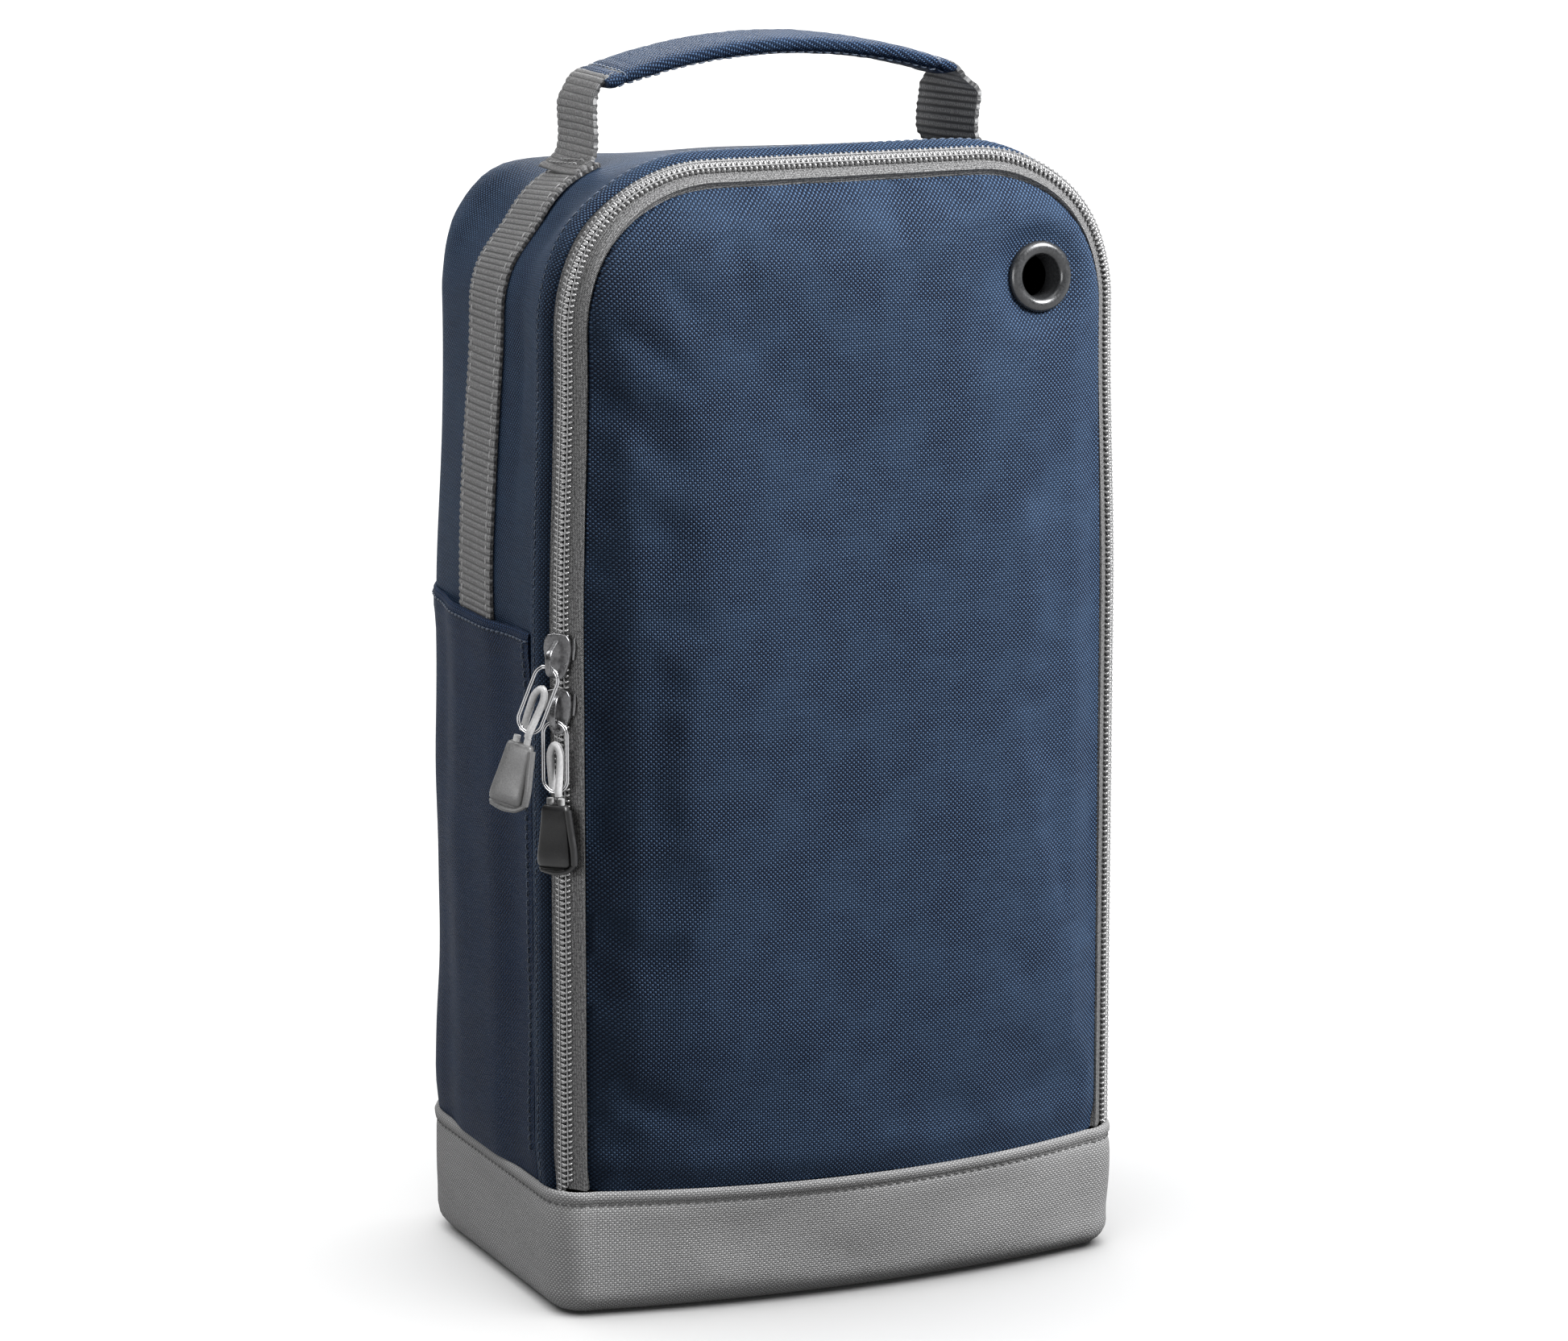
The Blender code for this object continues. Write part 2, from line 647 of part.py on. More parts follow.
def build_slider(name, z, standoff):
    frame = zip_frame(z)
    outline = [(-0.0040, 0.0030), (-0.0028, 0.0050), (0.0028, 0.0050), (0.0040, 0.0030),
               (0.0040, -0.0030), (0.0022, -0.0080), (-0.0022, -0.0080), (-0.0040, -0.0030)]
    body = plate(name, outline, 0.0010)
    body.matrix_world = frame @ Matrix.Translation((0, 0.0030, 0)) @ Matrix.Rotation(math.pi / 2, 4, "X")
    bpy.context.view_layer.update()
    body = curve_to_mesh(body)
    # A bridge over the plate holds the ring's wire.
    plate_out = 0.0030
    arch_out = 0.0068
    bridge = [(0.0030, plate_out), (0.0015, 0.0052), (-0.0010, 0.0073), (-0.0035, 0.0077),
              (-0.0056, 0.0072), (-0.0068, 0.0055), (-0.0070, plate_out), (-0.0061, plate_out),
              (-0.0059, 0.0052), (-0.0051, 0.0064), (-0.0035, arch_out), (-0.0014, 0.0064),
              (0.0000, 0.0050), (0.0006, plate_out)]
    # The bridge is as tall as the ring's plane needs.
    stretch = (standoff + BRIDGE_CLEARANCE - plate_out) / (arch_out - plate_out)
    bridge = [(along, plate_out + (out - plate_out) * stretch) for along, out in bridge]
    loop = plate(name + "_bridge", bridge, BRIDGE_WIDTH, CUTTERS)
    # The outline's first axis becomes the zip's length and its second points out of the zip's face.
    turn = Matrix(((0, 0, 1, 0), (0, 1, 0, 0), (1, 0, 0, 0), (0, 0, 0, 1)))
    loop.matrix_world = frame @ turn @ Matrix.Diagonal((1, 1, -1, 1))
    bpy.context.view_layer.update()
    loop = curve_to_mesh(loop)
    flange = box(name + "_flange", (0.0006, 0.0030, 0.0076), (-0.0037, 0.0017, 0.0), CUTTERS)
    flange.matrix_world = frame
    boolean(body, loop, "UNION")
    boolean(body, flange, "UNION")
    finish(body, GUNMETAL, 0.35, 0.7)
    return body


def stadium(half_width, length, steps=10):
    """A long ring in the local XZ plane, its top at the origin and its foot at -length."""
    points = []
    for i in range(steps + 1):
        angle = math.pi * i / steps
        points.append((half_width * math.cos(angle), 0.0, -half_width + half_width * math.sin(angle)))
    for i in range(steps + 1):
        angle = math.pi + math.pi * i / steps
        points.append((half_width * math.cos(angle), 0.0,
                       half_width - length + half_width * math.sin(angle)))
    return points


def cord_route():
    """The pull cord's loop inside the ring: each leg passes one side of the ring's lower wire."""
    foot = -RING_LENGTH
    aside = 0.0016
    knots = [(-aside, aside, foot - 0.0009), (-aside, aside, foot + 0.0015), (-aside, 0.0006, foot + 0.0060),
             (-0.0015, 0.0, foot + 0.0115), (0.0, 0.0, foot + 0.0140), (0.0015, 0.0, foot + 0.0115),
             (aside, -0.0006, foot + 0.0060), (aside, -aside, foot + 0.0015), (aside, -aside, foot - 0.0009)]
    points = []
    for i in range(len(knots) - 1):
        before = Vector(knots[max(i - 1, 0)])
        start = Vector(knots[i])
        end = Vector(knots[i + 1])
        after = Vector(knots[min(i + 2, len(knots) - 1)])
        for step in range(3):
            t = step / 3
            points.append(0.5 * ((2 * start) + (end - before) * t
                                 + (2 * before - 5 * start + 4 * end - after) * t ** 2
                                 + (3 * start - before - 3 * end + after) * t ** 3))
    points.append(Vector(knots[-1]))
    return points


def build_pull(place, slider_z, standoff, ring_tilt, tag_tilt, slider):
    """Ring, cord loop and moulded tag, which hang from a slider."""
    pivot = zip_frame(slider_z - RING_DROP) @ Matrix.Translation((0, standoff, 0))
    ring_axis = joint_empty("ring_%s_axis" % place, pivot, slider)
    hang = pivot @ Matrix.Rotation(-ring_tilt, 4, "Y")
    ring = wire("ring_" + place, stadium(RING_HALF_WIDTH, RING_LENGTH), RING_WIRE, cyclic=True)
    cord = wire("cord_" + place, cord_route(), CORD_RADIUS)
    for piece in (ring, cord):
        piece.matrix_world = hang
        attach(piece, ring_axis)
    finish(ring, STEEL, 0.25, 1.0)
    finish(cord, CORD, 0.6)
    swing = hang @ Matrix.Translation((0, 0, -RING_LENGTH - TAG_DROP))
    swing = swing @ Matrix.Rotation(ring_tilt - tag_tilt, 4, "Y")
    tag_axis = joint_empty("tag_%s_axis" % place, swing, ring_axis)
    body = loft("tag_" + place, tag_rows(), closed_rows=True)
    shape = bmesh.new()
    shape.from_mesh(body.data)
    bmesh.ops.holes_fill(shape, edges=[edge for edge in shape.edges if edge.is_boundary])
    bmesh.ops.recalc_face_normals(shape, faces=shape.faces)
    shape.to_mesh(body.data)
    shape.free()
    body.matrix_world = swing
    head_matrix = Matrix.Rotation(math.pi / 2, 4, "Y")
    head = cylinder("tag_%s_head" % place, TAG_ROUND, 0.0090, head_matrix, 20, CUTTERS)
    head.matrix_world = swing
    bevel(body, 0.0007)
    boolean(body, head, "UNION")
    finish(body, BLACK, 0.55)
    attach(body, tag_axis)


def tag_rows():
    """The moulded tag's cross-sections, widening from its round top to its rounded foot."""
    levels = [(-0.0004, 0.0045, 0.0019), (-0.0080, 0.0052, 0.0022), (-0.0150, 0.0060, 0.0022),
              (-TAG_LENGTH, 0.0050, 0.0018)]
    return [[(-w, -d, z), (w, -d, z), (w, d, z), (-w, d, z)] for z, w, d in levels]


# ---- Assembly -----------------------------------------------------------------------------------
def build_bag():
    build_gusset()
    build_back()
    build_base()
    build_pockets()
    build_side_straps()
    door_pieces = list(build_zip_halves())
    door_pieces += build_door()
    hinge = joint_empty("door_axis", Matrix.Translation(DOOR_HINGE))
    for piece in door_pieces:
        attach(piece, hinge)
    build_handle()
    pulls = [("upper", SLIDER_UPPER_Z, UPPER_STANDOFF, RING_TILT, TAG_TILT),
             ("lower", SLIDER_LOWER_Z, LOWER_STANDOFF, 0.0, 0.0)]
    for place, z, standoff, ring_tilt, tag_tilt in pulls:
        slider = build_slider("slider_" + place, z, standoff)
        attach(slider, hinge)
        build_pull(place, z, standoff, ring_tilt, tag_tilt, slider)


build_bag()
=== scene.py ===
import json
import math

import bmesh
import bpy
import numpy as np
from mathutils import Matrix, Vector, noise

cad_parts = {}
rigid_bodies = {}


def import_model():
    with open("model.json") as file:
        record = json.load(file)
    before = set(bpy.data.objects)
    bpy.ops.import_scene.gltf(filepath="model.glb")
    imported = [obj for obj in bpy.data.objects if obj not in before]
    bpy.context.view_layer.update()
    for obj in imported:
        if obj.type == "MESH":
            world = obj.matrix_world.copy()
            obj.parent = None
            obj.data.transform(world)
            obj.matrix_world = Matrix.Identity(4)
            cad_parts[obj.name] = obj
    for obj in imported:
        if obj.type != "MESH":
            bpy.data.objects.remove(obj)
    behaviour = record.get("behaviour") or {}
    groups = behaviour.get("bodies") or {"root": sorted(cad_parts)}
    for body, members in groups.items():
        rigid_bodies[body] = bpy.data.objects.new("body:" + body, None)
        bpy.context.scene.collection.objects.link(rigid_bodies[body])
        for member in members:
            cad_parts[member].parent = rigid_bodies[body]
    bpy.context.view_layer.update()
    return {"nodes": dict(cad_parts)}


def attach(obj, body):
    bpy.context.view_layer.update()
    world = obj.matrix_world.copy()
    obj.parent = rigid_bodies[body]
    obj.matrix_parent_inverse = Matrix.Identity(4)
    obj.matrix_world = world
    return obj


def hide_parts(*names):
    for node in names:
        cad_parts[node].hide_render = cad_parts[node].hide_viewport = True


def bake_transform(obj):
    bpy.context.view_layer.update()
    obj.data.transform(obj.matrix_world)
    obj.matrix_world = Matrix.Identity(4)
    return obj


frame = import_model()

# ---- Dimensions shared with the CAD, in metres --------------------------------------------------
ZIP_HALF = 0.0866
ZIP_RADIUS = 0.0455
ZIP_TOP = 0.333
ZIP_Y = -0.054
REACH = 0.0050
GUSSET_FRONT = -0.0490
BACK_Y = 0.0600
BACK_RADIUS = 0.0250
FRONT_Y = -0.0607
FRONT_BULGE = 0.0150
BASE_BULGE = 0.0080
FRONT_RADIUS = 0.0120
BAND_TOP = 0.0375
DOOR_BOTTOM = 0.0380
ROOF_FALL = 0.12
FABRIC = 0.0010
GAP = 0.0003
POCKET_TOP = 0.2000
STRAP_HALF = 0.0125
STRAP = 0.0014
HANDLE_X = 0.0587
PIVOT_Z = 0.3445
GRIP_Z = 0.3617
GRIP_HALF = 0.0505
GRIP_DROP = 0.0078
EYELET_X = 0.0587
EYELET_Z = 0.2966
SLIDER_Z = {"upper": 0.1970, "lower": 0.1810}
STANDOFF = {"upper": 0.0080, "lower": 0.0052}
RING_TILT = {"upper": math.radians(22), "lower": 0.0}
TAG_TILT = {"upper": math.radians(14), "lower": 0.0}
TAG_LEAN = {"upper": math.radians(4), "lower": 0.0}
RING_DROP = 0.0035
RING_LENGTH = 0.0210
RING_HALF = 0.0040
TAG_DROP = 0.0042
DOOR_REACH = -0.0052
CORNER_X = ZIP_HALF - ZIP_RADIUS       # centre of the arch's corners
CORNER_Z = ZIP_TOP - ZIP_RADIUS

BAG_MIDDLE = (0, 0, 0.17)              # the cloth's faces look away from here
CLOTH = 0.0009                         # thickness of the bag's cloth as drawn
LINING_CLOTH = 0.0004
YARN = 0.00068                         # pitch of the bag cloth's yarns
TOOTH_PITCH = 0.00165
RIB = 0.0021                           # pitch of the webbing's ribs
HALF = math.sqrt(0.5)

VIEW_TURN = math.radians(23.8)         # the camera, as fitted to the photo
VIEW_TILT = math.radians(11.7)
VIEW_TARGET = Vector((0.006, 0.0, 0.173))
VIEW_DISTANCE = 1.71
SENSOR_WIDTH = 36.0
FOCAL_SHARE = 7100 / 1946              # focal length over the picture's width


# ---- Material nodes -----------------------------------------------------------------------------
class Nodes:
    """A short way to wire one material's nodes."""

    def __init__(self, name):
        self.material = bpy.data.materials.new(name)
        self.material.use_nodes = True
        self.tree = self.material.node_tree
        self.shader = self.tree.nodes["Principled BSDF"]

    def new(self, kind, **settings):
        node = self.tree.nodes.new("ShaderNode" + kind)
        for key, value in settings.items():
            setattr(node, key, value)
        return node

    def put(self, value, socket):
        if isinstance(value, bpy.types.NodeSocket):
            self.tree.links.new(value, socket)
        else:
            socket.default_value = value

    def math(self, operation, a, b=0.0, c=0.0, clamp=False):
        node = self.new("Math", operation=operation, use_clamp=clamp)
        for socket, value in zip(node.inputs, (a, b, c)):
            self.put(value, socket)
        return node.outputs[0]

    def times(self, a, b):
        return self.math("MULTIPLY", a, b)

    def plus(self, a, b, clamp=False):
        return self.math("ADD", a, b, clamp=clamp)

    def minus(self, a, b):
        return self.math("SUBTRACT", a, b)

    def wave(self, value, pitch):
        """A sine with one half wave for each pitch."""
        return self.math("SINE", self.times(value, math.pi / pitch))

    def smooth(self, value, low, high, to_low=0.0, to_high=1.0):
        node = self.new("MapRange", interpolation_type="SMOOTHSTEP")
        for socket, item in zip(node.inputs[:5], (value, low, high, to_low, to_high)):
            self.put(item, socket)
        return node.outputs[0]

    def mix(self, factor, a, b):
        node = self.new("Mix", data_type="RGBA")
        self.put(factor, node.inputs[0])
        for socket, colour in ((node.inputs[6], a), (node.inputs[7], b)):
            if isinstance(colour, bpy.types.NodeSocket):
                self.tree.links.new(colour, socket)
            else:
                socket.default_value = (*colour, 1.0)
        return node.outputs[2]

    def noise(self, vector, scale, detail=2.0, roughness=0.5):
        node = self.new("TexNoise")
        if vector is not None:
            self.tree.links.new(vector, node.inputs["Vector"])
        node.inputs["Scale"].default_value = scale
        node.inputs["Detail"].default_value = detail
        node.inputs["Roughness"].default_value = roughness
        return node.outputs[0]

    def uv(self):
        return self.new("UVMap", uv_map="cloth").outputs[0]

    def place(self):
        return self.new("TexCoord").outputs["Object"]

    def split(self, vector):
        node = self.new("SeparateXYZ")
        self.tree.links.new(vector, node.inputs[0])
        return node.outputs

    def join(self, x, y, z=0.0):
        node = self.new("CombineXYZ")
        for socket, value in zip(node.inputs, (x, y, z)):
            self.put(value, socket)
        return node.outputs[0]

    def finish(self, colour, roughness, height=None, depth=0.0002, **sockets):
        self.put(colour if isinstance(colour, bpy.types.NodeSocket) else (*colour, 1.0),
                 self.shader.inputs["Base Color"])
        self.put(roughness, self.shader.inputs["Roughness"])
        for name, value in sockets.items():
            self.shader.inputs[name.replace("_", " ")].default_value = value
        if height is not None:
            bump = self.new("Bump")
            bump.inputs["Strength"].default_value = 1.0
            bump.inputs["Distance"].default_value = depth
            self.put(height, bump.inputs["Height"])
            self.put(bump.outputs[0], self.shader.inputs["Normal"])
        return self.material


def woven(name, dark, light, pitch=YARN, sheen=0.15, tint=(0.5, 0.6, 0.8), rough=0.62, depth=0.00016,
          twill=False):
    """Plain-woven polyester: warp and weft floats as a chequer of raised yarns, each with its fibres."""
    n = Nodes(name)
    uv = n.uv()
    wander = n.noise(uv, 0.35 / pitch, 2.0)
    u, v, _ = n.split(uv)
    drift = n.times(n.minus(wander, 0.5), 0.55 * pitch)
    u = n.plus(u, drift)
    v = n.minus(v, drift)
    if twill:
        u = n.plus(u, n.times(v, 0.5))
    warp = n.wave(u, pitch)
    weft = n.wave(v, pitch)
    chequer = n.times(warp, weft)
    floats = n.smooth(chequer, -0.20, 0.70)
    fibres = n.noise(n.join(u, n.times(v, 0.18)), 5.0 / pitch, 1.0)
    patches = n.noise(uv, 55.0, 3.0, 0.6)
    slub = n.noise(n.join(n.times(u, 0.05), v), 0.9 / pitch, 1.0)
    tone = n.times(floats, n.smooth(slub, 0.25, 0.75, 0.72, 1.0))
    colour = n.mix(tone, dark, light)
    colour = n.mix(n.smooth(patches, 0.35, 0.7, 0.0, 0.22), colour, tuple(0.62 * c for c in light))
    height = n.plus(n.math("ABSOLUTE", chequer), n.times(floats, 0.5))
    height = n.plus(height, n.times(fibres, 0.35))
    roughness = n.smooth(fibres, 0.2, 0.8, rough - 0.08, rough + 0.12)
    return n.finish(colour, roughness, height, depth, Sheen_Weight=sheen, Sheen_Roughness=0.45,
                    Sheen_Tint=(*tint, 1.0), Specular_IOR_Level=0.12)


def webbing_material(name, dark, light):
    """Ribbed webbing: heavy weft ribs crossed by fine warp yarns."""
    n = Nodes(name)
    uv = n.uv()
    u, v, _ = n.split(uv)
    wobble = n.times(n.minus(n.noise(uv, 450.0, 2.0), 0.5), 0.0007)
    rib = n.wave(v, RIB)
    warp = n.wave(n.plus(u, wobble), 0.00034)
    chequer = n.times(rib, warp)
    flecks = n.noise(n.join(n.times(u, 0.35), v), 2300.0, 2.0)
    tone = n.plus(n.smooth(chequer, -0.6, 0.9, 0.1, 0.65), n.smooth(flecks, 0.35, 0.75, -0.1, 0.35),
                  clamp=True)
    # The troughs between the ribs are painted darker: painted shade in the grooves.
    painted_groove_shade = n.smooth(n.math("ABSOLUTE", rib), 0.05, 0.75)
    colour = n.mix(n.times(tone, painted_groove_shade), dark, light)
    height = n.plus(n.math("ABSOLUTE", chequer), n.times(flecks, 0.5))
    return n.finish(colour, n.smooth(flecks, 0.2, 0.8, 0.6, 0.85), height, 0.00022, Sheen_Weight=0.1,
                    Specular_IOR_Level=0.35)


def tape_material(name, dark, light):
    """Zip tape: a fine knitted twill."""
    n = Nodes(name)
    uv = n.uv()
    u, v, _ = n.split(uv)
    wander = n.times(n.minus(n.noise(uv, 700.0, 2.0), 0.5), 0.0006)
    slant = n.wave(n.plus(n.plus(u, n.times(v, 0.8)), wander), 0.00042)
    cross = n.wave(n.minus(v, wander), 0.00055)
    knit = n.times(slant, cross)
    specks = n.noise(uv, 1500.0, 2.0, 0.7)
    tone = n.times(n.smooth(knit, -0.7, 0.8, 0.35, 1.0), n.smooth(specks, 0.32, 0.62, 0.12, 1.0))
    height = n.plus(knit, n.times(specks, 0.6))
    return n.finish(n.mix(tone, dark, light), 0.8, height, 0.00016, Specular_IOR_Level=0.3)


def thread_material(name, colour):
    n = Nodes(name)
    ply = n.noise(n.place(), 2600.0, 2.0)
    shade = n.mix(n.smooth(ply, 0.3, 0.7), tuple(0.6 * c for c in colour), colour)
    return n.finish(shade, 0.6, ply, 0.0001, Sheen_Weight=0.2)


def speckled(name, colour, roughness, spread=0.25, scale=900.0, depth=0.00002, **sockets):
    """Metal, nylon or moulded plastic with a faint grain, small marks and slightly worn patches."""
    n = Nodes(name)
    place = n.place()
    grain = n.noise(place, scale, 3.0, 0.6)
    wear = n.noise(place, scale * 0.12, 3.0, 0.6)
    low = tuple(c * (1.0 - spread) for c in colour)
    high = tuple(min(c * (1.0 + spread), 1.0) for c in colour)
    shade = n.mix(n.smooth(grain, 0.3, 0.7), low, high)
    shade = n.mix(n.smooth(wear, 0.55, 0.75, 0.0, 0.35), shade, high)
    rough = n.plus(n.smooth(grain, 0.2, 0.8, roughness * 0.8, roughness * 1.15),
                   n.smooth(wear, 0.4, 0.7, -0.04, 0.08), clamp=True)
    return n.finish(shade, rough, grain, depth, **sockets)


NAVY = woven("navy_weave", (0.0008, 0.0028, 0.011), (0.061, 0.110, 0.196), sheen=0.02, tint=(0.2, 0.45, 1.0))
# The pockets' copy of the navy cloth is painted darker than the walls' cloth: painted shade for the lower
# sides.
POCKET_NAVY_PAINTED_SHADE = woven("navy_pocket_weave", (0.0006, 0.0022, 0.009), (0.034, 0.072, 0.160), sheen=0.01,
                    tint=(0.2, 0.45, 1.0))
NAVY_TWILL = woven("navy_twill", (0.0012, 0.0038, 0.014), (0.055, 0.105, 0.20), pitch=0.0008, sheen=0.02,
                   tint=(0.2, 0.45, 1.0), depth=0.0003, twill=True)
GREY = woven("grey_weave", (0.145, 0.145, 0.146), (0.36, 0.36, 0.363), sheen=0.02, tint=(0.7, 0.7, 0.7))
LINING = woven("dark_lining", (0.009, 0.009, 0.010), (0.032, 0.033, 0.037), pitch=0.0004, sheen=0.05,
               rough=0.5,
               depth=0.00006)
WEBBING = webbing_material("grey_webbing", (0.020, 0.020, 0.021), (0.27, 0.27, 0.272))
TAPE = tape_material("grey_zip_tape", (0.022, 0.022, 0.023), (0.25, 0.25, 0.252))
COIL = speckled("nylon_coil", (0.15, 0.15, 0.152), 0.25, 0.2, 2500.0, Specular_IOR_Level=1.0, Coat_Weight=1.0,
                Coat_Roughness=0.12)
GUNMETAL = speckled("gunmetal", (0.028, 0.029, 0.031), 0.34, 0.2, 1400.0, Metallic=0.35, Coat_Weight=0.25,
                    Coat_Roughness=0.2)
SLIDER_METAL = speckled("dark_slider_metal", (0.16, 0.16, 0.165), 0.33, 0.25, 1200.0, depth=0.00005,
                        Metallic=0.85)
STEEL = speckled("bright_steel", (0.46, 0.46, 0.47), 0.14, 0.06, 1500.0, Metallic=1.0)
CORD = speckled("silver_cord", (0.34, 0.34, 0.343), 0.45, 0.12, 1500.0, depth=0.00003, Sheen_Weight=0.2)
TAG = speckled("matt_black_plastic", (0.015, 0.015, 0.016), 0.42, 0.2, 2200.0, depth=0.00004,
               Specular_IOR_Level=0.5)
# The upper tag's copy of the black plastic is painted about seven times lighter: a painted highlight on its
# face.
TAG_PAINTED_HIGHLIGHT = speckled("worn_black_plastic", (0.105, 0.105, 0.106), 0.42, 0.2, 2200.0, depth=0.00004,
                    Specular_IOR_Level=0.5)
BOARD = speckled("grey_board", (0.5, 0.5, 0.47), 0.9, 0.15, 600.0, depth=0.0001)
NAVY_THREAD = thread_material("navy_thread", (0.055, 0.085, 0.14))
GREY_THREAD = thread_material("grey_thread", (0.30, 0.30, 0.303))
DARK_GREY_THREAD = thread_material("dark_grey_thread", (0.055, 0.055, 0.056))


# ---- Mesh helpers -------------------------------------------------------------------------------
def link(name, data, material=None):
    """Put a mesh, light or camera in the scene."""
    obj = bpy.data.objects.new(name, data)
    bpy.context.scene.collection.objects.link(obj)
    if material is not None:
        data.materials.append(material)
    return obj


def smoothstep(value, low, high):
    share = min(max((value - low) / (high - low), 0.0), 1.0)
    return share * share * (3 - 2 * share)


def shade(obj, angle=40):
    obj.data.shade_smooth()
    obj.data.set_sharp_from_angle(angle=math.radians(angle))
    return obj


def grid(name, rows, material, uvs=None, closed=False):
    """A surface through rows of points. Its cloth map holds metres along (v) and across (u)."""
    height, width = len(rows), len(rows[0])
    columns = width if closed else width - 1
    points = [p for row in rows for p in row]
    faces = [(i * width + j, i * width + (j + 1) % width,
              (i + 1) * width + (j + 1) % width, (i + 1) * width + j)
             for i in range(height - 1) for j in range(columns)]
    if uvs is None:
        uvs = measured(rows, closed)
    mesh = bpy.data.meshes.new(name)
    mesh.from_pydata([tuple(p) for p in points], [], faces)
    layer = mesh.uv_layers.new(name="cloth")
    across, along = uvs
    flat = [c for i in range(height - 1) for j in range(columns)
            for c in (across[j], along[i], across[j + 1], along[i], across[j + 1], along[i + 1], across[j],
                      along[i + 1])]
    layer.data.foreach_set("uv", flat)
    mesh.update()
    return link(name, mesh, material)


def measured(rows, closed=False):
    """Distances across the middle row and along the middle column."""
    middle = rows[len(rows) // 2]
    ring = list(middle) + ([middle[0]] if closed else [])
    column = [row[len(row) // 2] for row in rows]
    return lengths(ring), lengths(column)


def shares(columns):
    """Even places from -1 to 1 across a strip."""
    return [2 * j / columns - 1 for j in range(columns + 1)]


def lengths(points):
    total = [0.0]
    for a, b in zip(points, points[1:]):
        total.append(total[-1] + (Vector(b) - Vector(a)).length)
    return total


def face_outwards(obj, centre):
    """Turn the surface so that its faces look away from a point."""
    mesh = obj.data
    outward = sum((p.center - Vector(centre)).dot(p.normal) * p.area for p in mesh.polygons)
    if outward < 0:
        mesh.flip_normals()
    return obj


def thicken(obj, thickness, offset=-1.0):
    modifier = obj.modifiers.new("cloth", "SOLIDIFY")
    modifier.thickness = thickness
    modifier.offset = offset
    return bake(obj)


def sewn(obj, thickness, middle=BAG_MIDDLE, angle=50, offset=-1.0):
    """Turn a surface outwards, give it its cloth's thickness on the inside and smooth it."""
    face_outwards(obj, middle)
    return shade(thicken(obj, thickness, offset), angle)


def reshape(obj, work):
    """Run one bmesh step on a piece's mesh."""
    shape = bmesh.new()
    shape.from_mesh(obj.data)
    work(shape)
    shape.to_mesh(obj.data)
    shape.free()


def tidy_normals(obj):
    reshape(obj, lambda shape: bmesh.ops.recalc_face_normals(shape, faces=shape.faces))


def cap_ends(obj):
    """Close the open ends of a tube-like surface."""
    reshape(obj, lambda shape: bmesh.ops.holes_fill(shape, edges=[e for e in shape.edges if e.is_boundary]))


def bake(obj):
    """Apply every modifier."""
    evaluated = obj.evaluated_get(bpy.context.evaluated_depsgraph_get())
    mesh = bpy.data.meshes.new_from_object(evaluated)
    obj.modifiers.clear()
    old = obj.data
    obj.data = mesh
    if old.users == 0:
        bpy.data.meshes.remove(old)
    return obj


def join_shapes(name, shapes, material):
    """One mesh from a list of (points, faces)."""
    points, faces = [], []
    for shape_points, shape_faces in shapes:
        start = len(points)
        points += [tuple(p) for p in shape_points]
        faces += [tuple(start + k for k in face) for face in shape_faces]
    mesh = bpy.data.meshes.new(name)
    mesh.from_pydata(points, [], faces)
    mesh.update()
    return link(name, mesh, material)


def ring_faces(count, sides, closed=False):
    """Faces between rings of points, with a cap at each end unless the rings close on themselves."""
    faces = []
    for i in range(count if closed else count - 1):
        near, far = i * sides, (i + 1) % count * sides
        for k in range(sides):
            m = (k + 1) % sides
            faces.append((near + k, near + m, far + m, far + k))
    if not closed:
        faces.append(tuple(reversed(range(sides))))
        faces.append(tuple((count - 1) * sides + k for k in range(sides)))
    return faces


def turns(sides):
    return [2 * math.pi * k / sides for k in range(sides)]


def swollen(value, power):
    """A sine or cosine pushed towards a square's corner; its sign stays."""
    return math.copysign(abs(value) ** power, value)


def tube(path, radii, sides=8, flatten=1.0):
    """Points and faces of a tube along a path; radii is one number or one for each point."""
    path = [Vector(p) for p in path]
    if isinstance(radii, (int, float)):
        radii = [radii] * len(path)
    points = []
    side = None
    for i, place in enumerate(path):
        before, after = path[max(i - 1, 0)], path[min(i + 1, len(path) - 1)]
        run = (after - before).normalized()
        side = run.orthogonal().normalized() if side is None else (side - run * side.dot(run)).normalized()
        top = run.cross(side).normalized()
        points += [place + radii[i] * (math.cos(a) * side + flatten * math.sin(a) * top)
                   for a in turns(sides)]
    return points, ring_faces(len(path), sides)


def ring_tube(path, radius, sides=8):
    """A closed loop of tube."""
    path = [Vector(p) for p in path]
    count = len(path)
    points = []
    side = (path[1] - path[-1]).normalized().orthogonal().normalized()
    for i, place in enumerate(path):
        run = (path[(i + 1) % count] - path[i - 1]).normalized()
        side = (side - run * side.dot(run)).normalized()
        top = run.cross(side)
        points += [place + radius * (math.cos(a) * side + math.sin(a) * top) for a in turns(sides)]
    return points, ring_faces(count, sides, closed=True)


def walk(points, step):
    """Places spaced evenly along a polyline, each with its direction."""
    points = [Vector(p) for p in points]
    total = lengths(points)
    places = []
    count = max(int(total[-1] / step), 1)
    index = 0
    for k in range(count):
        distance = (k + 0.5) * total[-1] / count
        while index < len(points) - 2 and total[index + 1] < distance:
            index += 1
        share = (distance - total[index]) / max(total[index + 1] - total[index], 1e-9)
        run = (points[index + 1] - points[index]).normalized()
        places.append((points[index].lerp(points[index + 1], share), run))
    return places


